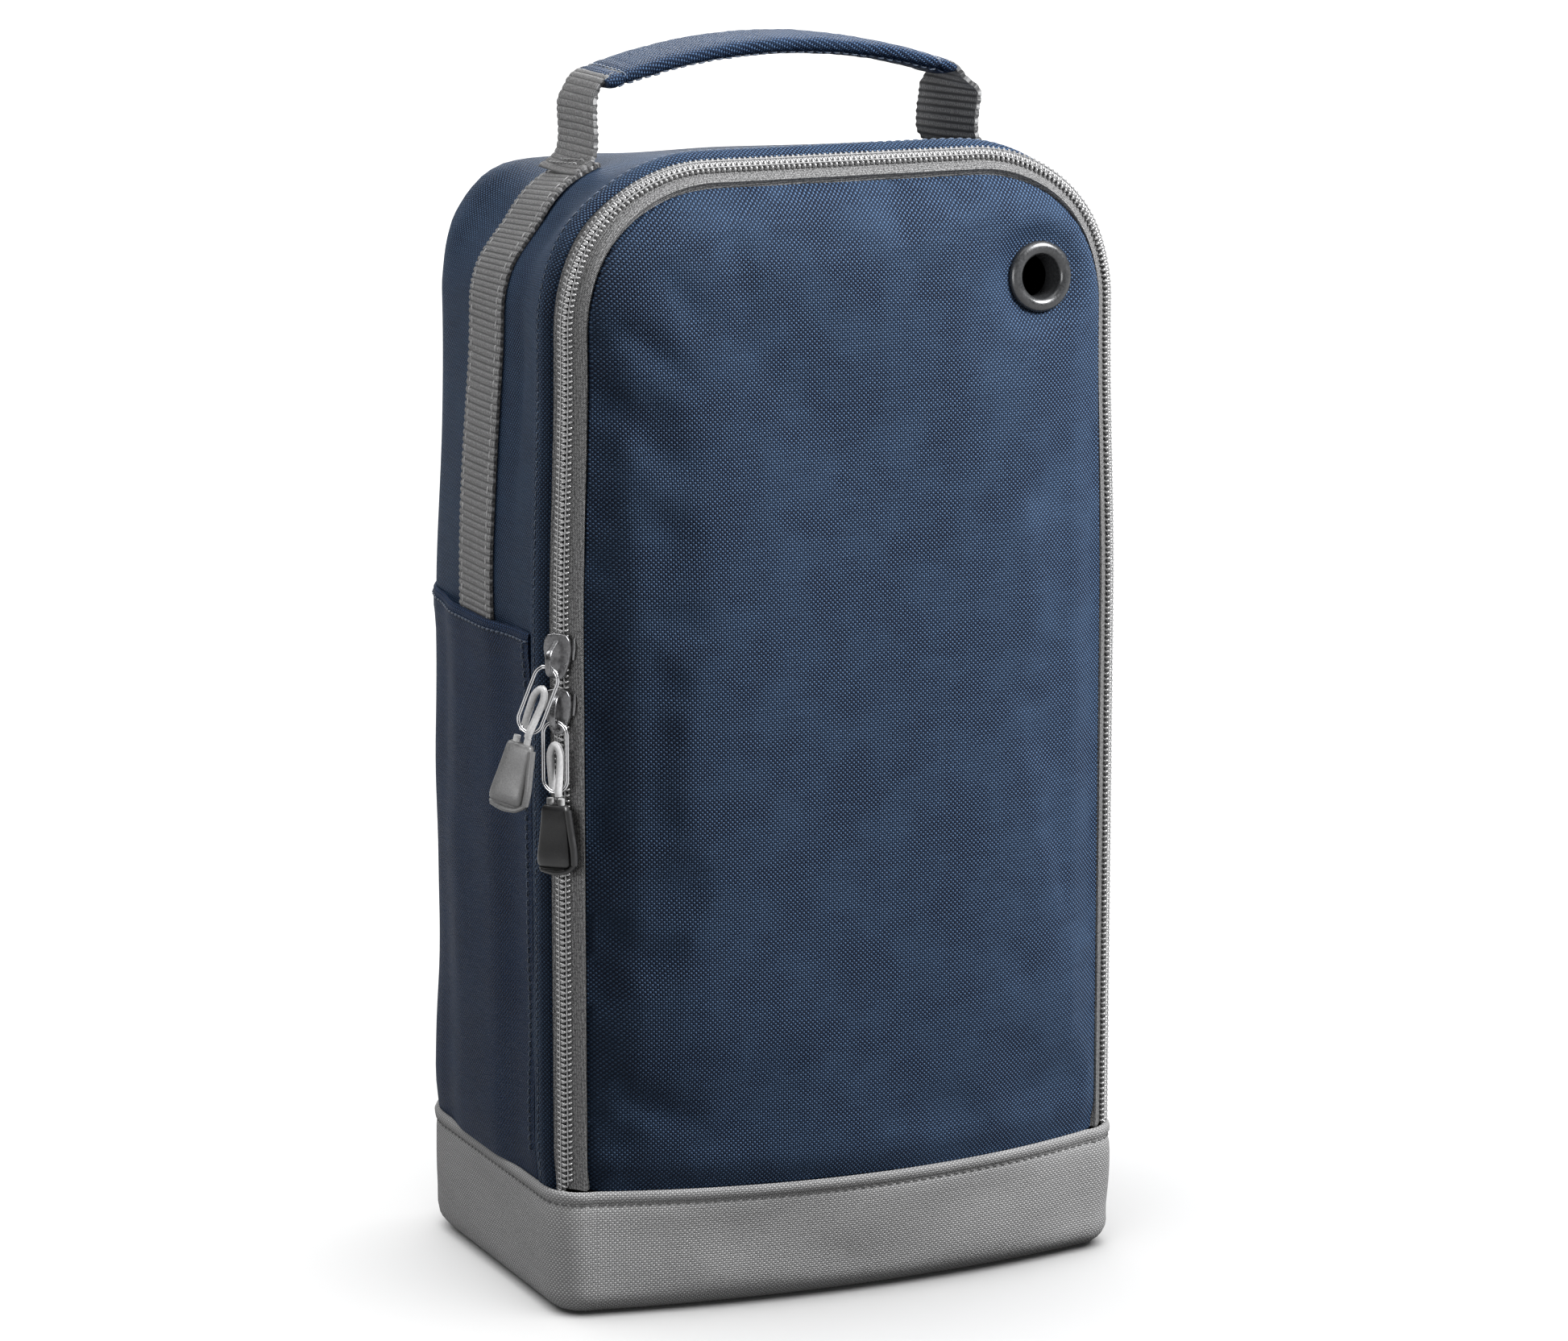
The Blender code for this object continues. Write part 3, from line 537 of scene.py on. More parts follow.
def stitches(name, lines, material, body, length=0.0017, pitch=0.0028, radius=0.00028, sink=0.00004):
    """Rows of thread stitches; each line is (points, outward direction function or vector)."""
    shapes = []
    for points, outward in lines:
        for place, run in walk(points, pitch):
            out = Vector(outward(place) if callable(outward) else outward).normalized()
            half = length / 2
            jog = 0.06 * length * noise.noise(place * 900)
            side = run.cross(out).normalized() * jog
            path = [place - run * half - out * radius * 1.6, place - run * half * 0.8 + out * (radius - sink)
                    + side,
                    place + out * (radius - sink) * 1.25, place + run * half * 0.8 + out * (radius - sink)
                    - side,
                    place + run * half - out * radius * 1.6]
            shapes.append(tube(path, [radius * 0.7, radius, radius, radius, radius * 0.7], 6))
    obj = shade(join_shapes(name, shapes, material), 60)
    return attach(obj, body)


# ---- The bag's own shape ------------------------------------------------------------------------
def roof_share(z, reach):
    return min(max((z - CORNER_Z) / (ZIP_RADIUS + reach), 0.0), 1.0)


def arch_stations(step=0.004, bottom=0.030):
    """Stations along the arch: ('leg', side, z), ('arc', side, angle) and ('top', x share)."""
    leg = max(int((CORNER_Z - bottom) / step), 1)
    arc = max(int(1.25 * ZIP_RADIUS * math.pi / 2 / step), 1)
    flat = max(int(CORNER_X / step), 1)
    left = [("leg", bottom + (CORNER_Z - bottom) * i / leg) for i in range(leg)]
    left += [("arc", math.pi / 2 * i / arc) for i in range(arc)]
    left += [("top", i / flat) for i in range(flat)]
    return ([(-1, *s) for s in left] + [(1, "top", 1.0)] + [(1, *s) for s in reversed(left)])


def squeeze(z):
    """How far the bag leans in just below its upper corners."""
    return 0.0019 * smoothstep(z, 0.200, 0.280) * (1 - smoothstep(z, 0.296, 0.332))


def on_arch(station, reach):
    """(x, z) and the outward direction (x, z) at a station, reach outside the zip line."""
    x, z, dx, dz = true_arch(station, reach)
    return x - math.copysign(squeeze(z), x), z, dx, dz


def true_arch(station, reach):
    side, kind, value = station
    half, radius, top = ZIP_HALF + reach, ZIP_RADIUS + reach, ZIP_TOP + reach
    if kind == "leg":
        return side * half, value, side * 1.0, 0.0
    if kind == "arc":
        dx, dz = math.cos(value), math.sin(value)
        return side * (half - radius + radius * dx), top - radius + radius * dz, side * dx, dz
    return side * (half - radius) * (1 - value), top, 0.0, 1.0


def nip(x, y, z):
    """The right wall is drawn in towards the zip, and both walls towards the band they are sewn to."""
    front = 0.0019 * smoothstep(x, 0.030, 0.080) * (1 - 0.6 * smoothstep(y, -0.040, 0.010))
    foot = 0.0012 * (1 - smoothstep(z, 0.034, 0.050))
    front += 0.0008 * smoothstep(z, 0.315, 0.330) * (1 - smoothstep(y, -0.040, 0.010))
    return -front - foot


def soften(x, y, z):
    """How far the bag's soft walls and roof stand out of their true shape at a place."""
    wall = smoothstep(z, 0.040, 0.085)
    depth = smoothstep(y, -0.047, -0.022) * (1 - smoothstep(y, 0.048, 0.0595))
    rear = smoothstep(y, 0.015, 0.050)
    place = Vector((x, y, z))
    broad = noise.noise(place * 17 + Vector((3.1, 0, 0)))
    fine = noise.noise(Vector((x * 30, y * 42, z * 26)) + Vector((0, 7.7, 0)))
    side = 1 - smoothstep(z, 0.27, 0.31)
    lift = 0.0012 * broad + 0.0005 * fine - 0.0004
    # The rear edge sinks along the side and stands up squarely at the roof's corners.
    high = smoothstep(z, 0.200, 0.285) * (1 - smoothstep(z, 0.318, 0.334))
    lift -= 0.0021 * rear * smoothstep(z, 0.05, 0.12) * (1 - smoothstep(z, 0.292, 0.314))
    lift -= 0.0024 * high * (1 - 0.88 * rear)
    lift -= 0.0018 * math.exp(-((z - 0.316) / 0.012) ** 2) * (1 - rear)
    corner = math.exp(-((abs(x) - 0.068) / 0.012) ** 2) * smoothstep(z, 0.300, 0.316)
    lift += 0.0054 * corner * rear
    roof = smoothstep(z, 0.300, 0.330)
    lift -= roof * (0.0012 + 0.0010 * math.exp(-((x + 0.028) / 0.020) ** 2))
    # The strap's foot pulls the shoulder in a little.
    foot = math.exp(-((abs(x) - 0.066) / 0.014) ** 2 - (y / 0.030) ** 2) * roof
    lift -= 0.0010 * foot
    # A shallow fold runs down the side in front of the strap.
    fold = math.exp(-((y + 0.026 + 0.010 * (z - 0.25)) / 0.0045) ** 2)
    lift -= 0.0008 * fold * smoothstep(z, 0.21, 0.26) * side
    return lift * wall * depth


def sag(y, z):
    """The top of the zip hangs a little below the roof's true line."""
    return 0.0017 * smoothstep(z, 0.300, 0.332) * (1 - smoothstep(y, -0.044, -0.015))


def on_wall(station, reach, y, extra=0.0):
    """A point of a layer of the bag's walls, with the roof's fall and the cloth's softness."""
    x, z, dx, dz = on_arch(station, reach)
    lift = soften(x, y, z) + nip(x, y, z) + extra
    drop = ROOF_FALL * (y - GUSSET_FRONT) * roof_share(z, reach) + sag(y, z)
    return Vector((x + dx * lift, y, z - drop + dz * lift))


def back_section(inset, front, steps, arc_steps, turn=90):
    reach, radius = REACH - inset, BACK_RADIUS - inset
    centre = (REACH - BACK_RADIUS, BACK_Y - BACK_RADIUS)
    section = [(reach, front + (centre[1] - front) * i / steps) for i in range(steps + 1)]
    for i in range(1, arc_steps + 1):
        angle = math.radians(turn) * i / arc_steps
        section.append((centre[0] + radius * math.cos(angle), centre[1] + radius * math.sin(angle)))
    return section


def wall_layer(name, section, stations, material):
    rows = [[on_wall(station, reach, y) for reach, y in section] for station in stations]
    across = lengths([(reach, y, 0) for reach, y in section])
    outer = [on_arch(s, section[0][0])[:2] for s in stations]
    along = lengths([(x, z, 0) for x, z in outer])
    return rows, grid(name, rows, material, (across, along))


def door_half_width(z, reach=DOOR_REACH):
    half, radius = ZIP_HALF + reach, ZIP_RADIUS + reach
    rise = z - CORNER_Z
    if rise <= 0:
        return half - squeeze(z)
    return half - radius + math.sqrt(max(radius ** 2 - rise ** 2, 0.0)) - squeeze(z)


def front_surface(x, z):
    top = ZIP_TOP + DOOR_REACH
    share = min(max((z - DOOR_BOTTOM) / (top - DOOR_BOTTOM), 0.0), 1.0)
    fullness = FRONT_BULGE * (1 - share ** 4)
    across = x / door_half_width(min(z, top))
    return FRONT_Y - fullness * (1 - min(across ** 2, 1.0))


def plan_outline(offset, bulge):
    """The bag's outline from above, anticlockwise from the front left."""
    half = ZIP_HALF + REACH
    front_half = half - FRONT_RADIUS
    points = []
    count = 24
    for i in range(count + 1):
        x = front_half * (2 * i / count - 1)
        points.append((x, FRONT_Y - bulge * (1 - (x / front_half) ** 2)))
    front_y, back_y = FRONT_Y + FRONT_RADIUS, BACK_Y - BACK_RADIUS
    corners = [(front_half, front_y, FRONT_RADIUS, -90), (half - BACK_RADIUS, back_y, BACK_RADIUS, 0),
               (BACK_RADIUS - half, back_y, BACK_RADIUS, 90), (-front_half, front_y, FRONT_RADIUS, 180)]
    for index, (cx, cy, radius, start) in enumerate(corners):
        steps = 8 if radius > 0.02 else 6
        for i in range(0 if index else 1, steps + (0 if index == 3 else 1)):
            angle = math.radians(start + 90 * i / steps)
            points.append((cx + radius * math.cos(angle), cy + radius * math.sin(angle)))
        if index < 3:
            nx, ny, nr, ns = corners[index + 1]
            ax, ay = points[-1]
            bx, by = nx + nr * math.cos(math.radians(ns)), ny + nr * math.sin(math.radians(ns))
            runs = max(int(math.hypot(bx - ax, by - ay) / 0.006), 1)
            points += [(ax + (bx - ax) * i / runs, ay + (by - ay) * i / runs) for i in range(1, runs)]
    moved = []
    for i, point in enumerate(points):
        run = (Vector(points[(i + 1) % len(points)]) - Vector(points[i - 1])).normalized()
        moved.append((point[0] + run.y * offset, point[1] - run.x * offset))
    return moved


# ---- Walls and roof -----------------------------------------------------------------------------
def build_walls():
    stations = arch_stations()
    section = back_section(0.0, GUSSET_FRONT, 30, 12)
    section += [(section[-1][0] - turn, BACK_Y - 0.0003) for turn in (0.0025, 0.0055)]
    # The front hem is turned under, so it is thicker and rounded over.
    hemmed = [(REACH - 0.0026, GUSSET_FRONT - 0.0018), (REACH - 0.0021, GUSSET_FRONT - 0.0024),
              (REACH - 0.0013, GUSSET_FRONT - 0.0021), (REACH - 0.0006, GUSSET_FRONT - 0.0012),
              (REACH - 0.0001, GUSSET_FRONT - 0.0005)]
    near = [0.0, 0.0005, 0.0011, 0.0017, 0.0022, 0.0026, 0.0030, 0.0035, 0.0042, 0.0050, 0.0058, 0.0066]
    section = ([(REACH, GUSSET_FRONT + d) for d in near]
               + [p for p in section if p[1] > GUSSET_FRONT + 0.008 or p[0] < REACH])
    for reach, y in section:
        d = y - GUSSET_FRONT
        fold = 0.0005 * (1 - smoothstep(d, 0.0045, 0.0065)) - 0.0003 * (1 - smoothstep(d, 0.0, 0.0014))
        fold -= 0.0003 * math.exp(-((d - 0.0026) / 0.0005) ** 2) if reach == REACH else 0.0
        hemmed.append((reach + fold, y))
    rows, walls = wall_layer("wall_cloth", hemmed, stations, NAVY)
    sewn(walls, CLOTH)
    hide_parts("gusset")
    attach(walls, "bag")
    # Edge stitching along the hem, and along the back seam.
    front_line = [on_wall(s, REACH + 0.0002, GUSSET_FRONT + 0.0026) for s in arch_stations(0.002, 0.040)]
    stitches("wall_hem_stitching", [(front_line, arch_out)], NAVY_THREAD, "bag")
    turn = math.radians(82)
    reach = REACH - BACK_RADIUS + BACK_RADIUS * math.cos(turn)
    y = BACK_Y - BACK_RADIUS + BACK_RADIUS * math.sin(turn)
    back_line = [on_wall(s, reach, y) for s in arch_stations(0.003, 0.040)]
    stitches("wall_back_stitching", [(back_line, (0, 1, 0))], NAVY_THREAD, "bag")
    # The lining leaves the back corner early and covers the edge of the back's padding.
    inner = back_section(FABRIC + GAP + 0.0008, -0.0427, 30, 8, turn=60)
    inner += [(-0.0150, 0.0540), (-0.0200, 0.0518), (-0.0245, 0.0512)]
    lining_rows, lining = wall_layer("wall_lining_cloth", inner, arch_stations(0.006, 0.0050), LINING)
    sewn(lining, LINING_CLOTH)
    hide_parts("gusset_lining")
    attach(lining, "bag")


def arch_out(place):
    """Outward direction of the arch at a place on it."""
    x, z = place.x, place.z
    dx = max(abs(x) - CORNER_X, 0.0) * (1 if x > 0 else -1)
    dz = max(z - CORNER_Z, 0.0)
    return Vector((dx, 0, dz)).normalized()


def build_back():
    edge = REACH - BACK_RADIUS - 2.5 * GAP
    y0 = BACK_Y
    radius = ZIP_RADIUS + edge
    half = ZIP_HALF + edge
    drop = ROOF_FALL * (BACK_Y - GUSSET_FRONT)
    top = ZIP_TOP + edge - drop
    straight = top - radius

    def half_at(z):
        rise = max(z - straight, 0.0)
        return half - radius + math.sqrt(max(radius ** 2 - rise ** 2, 0.0)) if rise > 0 else half

    heights = [0.030 + (straight - 0.030) * i / 56 for i in range(56)]
    heights += [straight + radius * math.sin(math.pi / 2 * i / 14) for i in range(15)]
    columns = 34
    rows = []
    for z in heights:
        width = half_at(z)
        row = []
        for share in shares(columns):
            x = width * share
            inset = min(width - abs(x), z - 0.02, top - z)
            crown = 0.0016 * smoothstep(inset, 0.0, 0.012) - 0.0002
            ripple = 0.0007 * noise.noise(Vector((x * 22, 3.0, z * 15)))
            tuck = 0.0030 * (1 - smoothstep(z, 0.036, 0.048))
            row.append(Vector((x, y0 + (crown + ripple) * smoothstep(inset, 0.0, 0.010) - tuck + 0.0001, z)))
        rows.append(row)
    across = [half * share for share in shares(columns)]
    back = grid("back_padded_panel", rows, NAVY, (across, heights))
    sewn(back, 0.0042)
    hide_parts("back_panel", "back_foam")
    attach(back, "bag")
    inner_rows = [[Vector((p.x * 0.985, y0 - 0.0053, p.z * 0.985)) for p in row] for row in rows]
    for row, z in zip(inner_rows, heights):
        for p in row:
            p.z = 0.0055 + (z - 0.030) * (top - 0.004 - 0.0055) / (top - 0.030)
            p.y += 0.0004 * noise.noise(Vector((p.x * 40, 1.0, p.z * 25)))
            p.y -= 0.0034 * (1 - smoothstep(p.z, 0.044, 0.060))
    lining = grid("back_lining_cloth", inner_rows, LINING)
    sewn(lining, LINING_CLOTH)
    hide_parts("back_lining")
    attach(lining, "bag")


# ---- Base ---------------------------------------------------------------------------------------
def build_base():
    profile = [(0.0378, -0.0004), (0.0381, 0.0004), (0.0380, 0.0012), (0.0374, 0.0016), (0.0366, 0.0017),
               (0.0354, 0.0016), (0.0347, 0.0010), (0.0342, 0.0008), (0.0337, 0.0010), (0.0320, 0.0012)]
    profile += [(0.0320 - 0.0028 * i, 0.0012) for i in range(1, 9)]
    profile += [(0.0075, 0.0011), (0.0056, 0.0007), (0.0040, -0.0001), (0.0026, -0.0013), (0.0015, -0.0028),
                (0.0008, -0.0045), (0.0005, -0.0062)]
    rows = []
    for z, offset in profile:
        bulge = BASE_BULGE + (FRONT_BULGE - BASE_BULGE) * min(z / BAND_TOP, 1.0)
        row = []
        for x, y in plan_outline(offset - 0.0010, bulge):
            x -= 0.0018 * smoothstep(x, 0.050, 0.090)
            soft = smoothstep(z, 0.004, 0.012) * (1 - smoothstep(z, 0.030, 0.036))
            out = Vector((x / 0.09, y / 0.06, 0)).normalized()
            wave = noise.noise(Vector((x * 26, y * 26, z * 60)))
            crease = noise.noise(Vector((x * 90 + z * 60, y * 90, z * 45 + 5)))
            push = soft * (0.0009 * wave + 0.00045 * crease)
            row.append(Vector((x, y, z)) + out * push)
        rows.append(row)
    across, _ = measured(rows, True)
    along = lengths([(offset, z, 0) for z, offset in profile])
    band = grid("base_band_cloth", rows, GREY, (across, along), closed=True)
    sewn(band, CLOTH, (0, 0, 0.02))
    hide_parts("base_band")
    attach(band, "bag")
    line = [Vector(p) for p in rows[7]]
    line.append(line[0])
    stitches("band_stitching", [(line, plan_out)], DARK_GREY_THREAD, "bag")
    build_plate("base_panel_cloth", 0.0, 0.0010, -0.0072, GREY, "base_panel", True)
    build_plate("base_lining_cloth", 0.0040, 0.0005, -0.0030, LINING, "base_lining", False)


def plan_out(place):
    x, y = place.x, place.y
    if y < FRONT_Y + 0.002:
        return Vector((0.0035 * x / 0.09, -1, 0))
    dx = max(abs(x) - 0.0666, 0) * (1 if x > 0 else -1) + 1e-5 * x
    dy = max(abs(y) - 0.035, 0) * (1 if y > 0 else -1)
    return Vector((dx, dy, 0))


def build_plate(name, bottom, thickness, offset, material, node, outer):
    """A flat sheet with the bag's plan, filled with concentric rings."""
    outline = plan_outline(offset, BASE_BULGE)
    rings = [1.0, 0.97, 0.9, 0.8, 0.65, 0.5, 0.35, 0.2, 0.08]
    points, faces = [], []
    width = len(outline)
    for share in rings:
        for x, y in outline:
            lift = 0.0 if outer else 0.00025 * (1 + noise.noise(Vector((x * share * 30, y * share * 30, 1))))
            points.append((x * share, y * share - (1 - share) * 0.004, bottom + lift))
    for i in range(len(rings) - 1):
        for j in range(width):
            k = (j + 1) % width
            faces.append((i * width + j, (i + 1) * width + j, (i + 1) * width + k, i * width + k))
    faces.append(tuple((len(rings) - 1) * width + j for j in reversed(range(width))))
    mesh = bpy.data.meshes.new(name)
    mesh.from_pydata(points, [], faces)
    mesh.validate()
    layer = mesh.uv_layers.new(name="cloth")
    for loop in mesh.loops:
        layer.data[loop.index].uv = mesh.vertices[loop.vertex_index].co[:2]
    obj = link(name, mesh, material)
    if obj.data.polygons[0].normal.z > 0:
        obj.data.flip_normals()
    thicken(obj, thickness)
    shade(obj, 50)
    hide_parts(node)
    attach(obj, "bag")


# ---- Pockets and side straps --------------------------------------------------------------------
def build_pockets():
    step = STRAP + 2 * GAP
    half = STRAP_HALF
    outside = REACH + GAP
    for side, name in ((-1, "left"), (1, "right")):
        section = []
        for i in range(25):
            y = -0.0425 + 0.0735 * i / 24
            section.append((y, step * (1 - smoothstep(abs(y), half - 0.001, 0.031))))
        # Flat round the back corner, as the bag's own wall.
        centre = (REACH - BACK_RADIUS, BACK_Y - BACK_RADIUS)
        arc = []
        for i in range(9):
            angle = math.radians(75) * i / 8
            radius = BACK_RADIUS + GAP
            arc.append((centre[0] + radius * math.cos(angle), centre[1] + radius * math.sin(angle)))
        places = [(outside + lift, y) for y, lift in section] + arc
        heights = [DOOR_BOTTOM + 0.0003, 0.0420] + [0.046 + 0.005 * i for i in range(30)]
        heights += [0.1935, 0.1950, 0.1965, 0.1975, 0.1985, 0.1992, 0.1996, POCKET_TOP, 0.2002, 0.2000]
        rows = []
        for index, z in enumerate(heights):
            station = (side, "leg", z)
            row = []
            for reach, y in places:
                hem = 0.00055 * smoothstep(z, 0.1900, 0.1920) - 0.0007 * smoothstep(z, 0.1990, 0.2002)
                if index == len(heights) - 1:
                    hem -= 0.0008
                # The hem hangs a little open between its sewn ends, and dips at its middle.
                opening = 0.0008 * math.cos(y / 0.030) * smoothstep(z, 0.16, 0.20) if y < 0.035 else 0.0
                edge = 0.0004 * (1 - smoothstep(y, -0.0418, -0.0385))
                edge -= 0.0006 * (1 - smoothstep(y, -0.0425, -0.0415))
                pull = 0.0012 * smoothstep(z, 0.15, 0.20) * math.sin((y + 0.0425) / 0.1 * math.pi)
                ripple = 0.0005 * noise.noise(Vector((side * 3, y * 45, z * 30))) * smoothstep(z, 0.045, 0.07)
                point = on_wall(station, reach, y, hem + max(opening, 0) + edge + ripple)
                point.z = z - pull
                row.append(point)
            rows.append(row)
        across = lengths([(reach, y, 0) for reach, y in places])
        # The pocket cloth takes the darker navy copy: painted shade.
        pocket = grid("pocket_%s_cloth" % name, rows, POCKET_NAVY_PAINTED_SHADE, (across, heights))
        sewn(pocket, 0.0007, (0, 0, 0.12))
        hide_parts("pocket_" + name)
        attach(pocket, "bag")
        hem_row = rows[heights.index(0.1975)]
        hem_line = [Vector(p) for p in hem_row]
        front = [Vector(row[1]) + Vector((side * 0.0001, 0, 0)) for row in rows[2:-6]]
        lines = [(hem_line, (side, 0, 0)), (front, (side, 0, 0))]
        stitches("pocket_%s_stitching" % name, lines, NAVY_THREAD, "bag")


def rib_phases(travelled, seed):
    """The cloth map's lengths along a strap, a little uneven, in step with its ribs."""
    return [t + 0.0005 * noise.noise(Vector((seed, t * 160, 3))) for t in travelled]


def rib_height(along, share, depth=0.00042):
    """Height of the webbing's surface: round ribs, thinner edges and two stitched furrows."""
    ridge = depth * (abs(math.sin(math.pi * along / RIB)) ** 0.7 - 0.8)
    ridge -= 0.0004 * smoothstep(abs(share), 0.88, 1.0)
    return ridge - 0.00028 * math.exp(-((abs(share) - 0.80) / 0.05) ** 2)


def build_side_straps():
    reach = REACH + GAP + STRAP
    step = RIB / 6
    bottom = BAND_TOP + 0.0012
    end = math.acos((HANDLE_X - 0.0002 - ZIP_HALF + ZIP_RADIUS) / (ZIP_RADIUS + reach))
    columns = 18
    for side, name in ((-1, "left"), (1, "right")):
        leg = CORNER_Z - bottom
        count = int(leg / step)
        stations = [(side, "leg", bottom + leg * i / count) for i in range(count)]
        travelled = [leg * i / count for i in range(count)]
        arc = int((ZIP_RADIUS + reach) * end / step)
        stations += [(side, "arc", end * i / arc) for i in range(arc + 1)]
        travelled += [leg + (ZIP_RADIUS + reach) * end * i / arc for i in range(arc + 1)]
        along = rib_phases(travelled, side)
        rows = []
        for station, distance in zip(stations, along):
            row = []
            for share in shares(columns):
                z = on_arch(station, reach)[1]
                y = share * STRAP_HALF + 0.0006 * math.sin(z * 55) * smoothstep(z, 0.21, 0.24)
                wobble = 0.0004 * abs(math.sin(math.pi * distance / RIB)) * smoothstep(abs(share), 0.9, 1.0)
                y += math.copysign(wobble, share)
                row.append(on_wall(station, reach, y, rib_height(distance, share)))
            rows.append(row)
        across = [STRAP_HALF * share for share in shares(columns)]
        strap = grid("side_strap_" + name, rows, WEBBING, (across, along))
        sewn(strap, STRAP - 0.0003, angle=60)
        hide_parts("webbing_" + name)
        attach(strap, "bag")
        lines = [([row[j] for row in rows[::6]], arch_out) for j in (2, columns - 2)]
        stitches("side_strap_%s_stitching" % name, lines, GREY_THREAD, "bag", 0.0020, 0.0034, 0.00022)


# ---- Zip ----------------------------------------------------------------------------------------
def chamfer(along, out):
    """(reach, y) on the zip's slanted face."""
    return HALF * (along + out), ZIP_Y + HALF * (along - out)


def on_zip(station, reach, y):
    x, z, dx, dz = on_arch(station, reach)
    lift = nip(x, y, z) * smoothstep(y, -0.0520, -0.0500)
    x, z = x + dx * lift, z + dz * lift
    return Vector((x, y, z - ROOF_FALL * (y - GUSSET_FRONT) * roof_share(z, reach) - sag(y, z)))


def build_tapes():
    inside = REACH - FABRIC - GAP - 0.0003
    body = [chamfer(0.0002, -0.0003), chamfer(0.0012, -0.0002), chamfer(0.0030, -0.0003),
            chamfer(0.0044, -0.0004), chamfer(0.0052, -0.0006), (inside, -0.0488), (inside, -0.0460),
            (inside, -0.0434)]
    behind = FRONT_Y + 0.0011
    door = [chamfer(-0.0002, -0.0003), chamfer(-0.0012, -0.0002), chamfer(-0.0034, -0.0001),
            chamfer(-0.0042, 0.0002), chamfer(-0.0052, 0.0003), chamfer(-0.0060, 0.0003),
            chamfer(-0.0066, 0.0002), (-0.0050, behind + 0.0014), (-0.0058, behind + 0.0020),
            (-0.0085, behind + 0.0022)]
    for name, section, bottom, side in (("body", body, 0.0310, 1), ("door", door, DOOR_BOTTOM + 0.0002, -1)):
        stations = arch_stations(0.003, bottom)
        rows = [[on_zip(s, reach, y) for reach, y in section] for s in stations]
        across = lengths([(reach, y, 0) for reach, y in section])
        along = lengths([on_zip(s, 0.0, ZIP_Y) for s in stations])
        tape = grid("zip_tape_%s_cloth" % name, rows, TAPE, (across, along))
        sewn(tape, 0.0005, (0, 0.02, 0.17))
        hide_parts("zip_tape_" + name)
        teeth = build_teeth(name, side, bottom)
        for piece in (tape, teeth):
            if name == "body":
                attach(piece, "bag")
            else:
                hinge_bend(piece)


def hinge_bend(piece):
    """The door's cloth stays sewn to the band; this only bakes a piece's placement into its mesh."""
    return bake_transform(piece)


def tooth_axes(place, side):
    """Directions on the zip's face at a place: across the chain, and out of it."""
    out_arch = arch_out(place)
    return (HALF * out_arch + Vector((0, HALF, 0))) * side, HALF * out_arch - Vector((0, HALF, 0))


def build_teeth(name, side, bottom):
    """The nylon coil: one loop for each tooth, its head at the meeting line and its heel on the tape."""
    line = [on_zip(s, 0.0, ZIP_Y) for s in arch_stations(0.0015, bottom + 0.001)]
    shift = 0.5 * TOOTH_PITCH if side < 0 else 0.0
    # One tooth from heel to head: along the tape, out of it, and the nylon's radius.
    profile = [(0.0026, 0.0002, 0.00032), (0.0025, 0.0008, 0.00042), (0.0021, 0.0011, 0.00046),
               (0.0016, 0.0010, 0.00034), (0.0010, 0.0010, 0.00034), (0.0004, 0.0014, 0.00046),
               (-0.0003, 0.0014, 0.00050), (-0.0008, 0.0008, 0.00036)]
    shapes = []
    for place, run in walk(line, TOOTH_PITCH):
        across, out = tooth_axes(place, side)
        base = place + run * shift
        lean = run * 0.00035
        path = [base + across * (0.82 * s) + out * (0.85 * o) + lean * (s / 0.0015 - 1)
                for s, o, _ in profile]
        shapes.append(tube(path, [0.9 * r for _, _, r in profile], 7))
    # A row of sewing thread holds the coil to the tape.
    thread = []
    for place, _ in walk(line, TOOTH_PITCH / 2):
        across, out = tooth_axes(place, side)
        thread.append(place + across * 0.0011 + out * 0.0011)
    shapes.append(tube(thread, 0.00022, 5))
    coil = shade(join_shapes("zip_coil_%s_teeth" % name, shapes, COIL), 60)
    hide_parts("zip_coil_" + name)
    return coil


# ---- Door ---------------------------------------------------------------------------------------
def eyelet_slopes():
    """How the door's front slants at the eyelet, along x and along z."""
    step = 0.001
    slope_x = (front_surface(EYELET_X + step, EYELET_Z)
               - front_surface(EYELET_X - step, EYELET_Z)) / (2 * step)
    slope_z = (front_surface(EYELET_X, EYELET_Z + step)
               - front_surface(EYELET_X, EYELET_Z - step)) / (2 * step)
    return slope_x, slope_z


def eyelet_frame():
    slope_x, slope_z = eyelet_slopes()
    outward = Vector((slope_x, -1.0, slope_z)).normalized()
    place = Vector((EYELET_X, front_surface(EYELET_X, EYELET_Z), EYELET_Z))
    return Matrix.Translation(place) @ outward.to_track_quat("Z", "Y").to_matrix().to_4x4()


def door_heights():
    radius = ZIP_RADIUS + DOOR_REACH
    heights = [DOOR_BOTTOM + (CORNER_Z - DOOR_BOTTOM) * i / 84 for i in range(84)]
    return heights + [CORNER_Z + radius * math.sin(math.pi / 2 * i / 22) for i in range(23)]


def crease(x, z, start, end, width, depth):
    """A soft furrow from start to end, which fades at both ends."""
    a, b = Vector(start), Vector(end)
    run = b - a
    share = min(max((Vector((x, z)) - a).dot(run) / run.length_squared, 0.0), 1.0)
    gap = (Vector((x, z)) - a - run * share).length
    return depth * math.exp(-(gap / width) ** 2) * math.sin(math.pi * min(max(share, 0.02), 0.98))


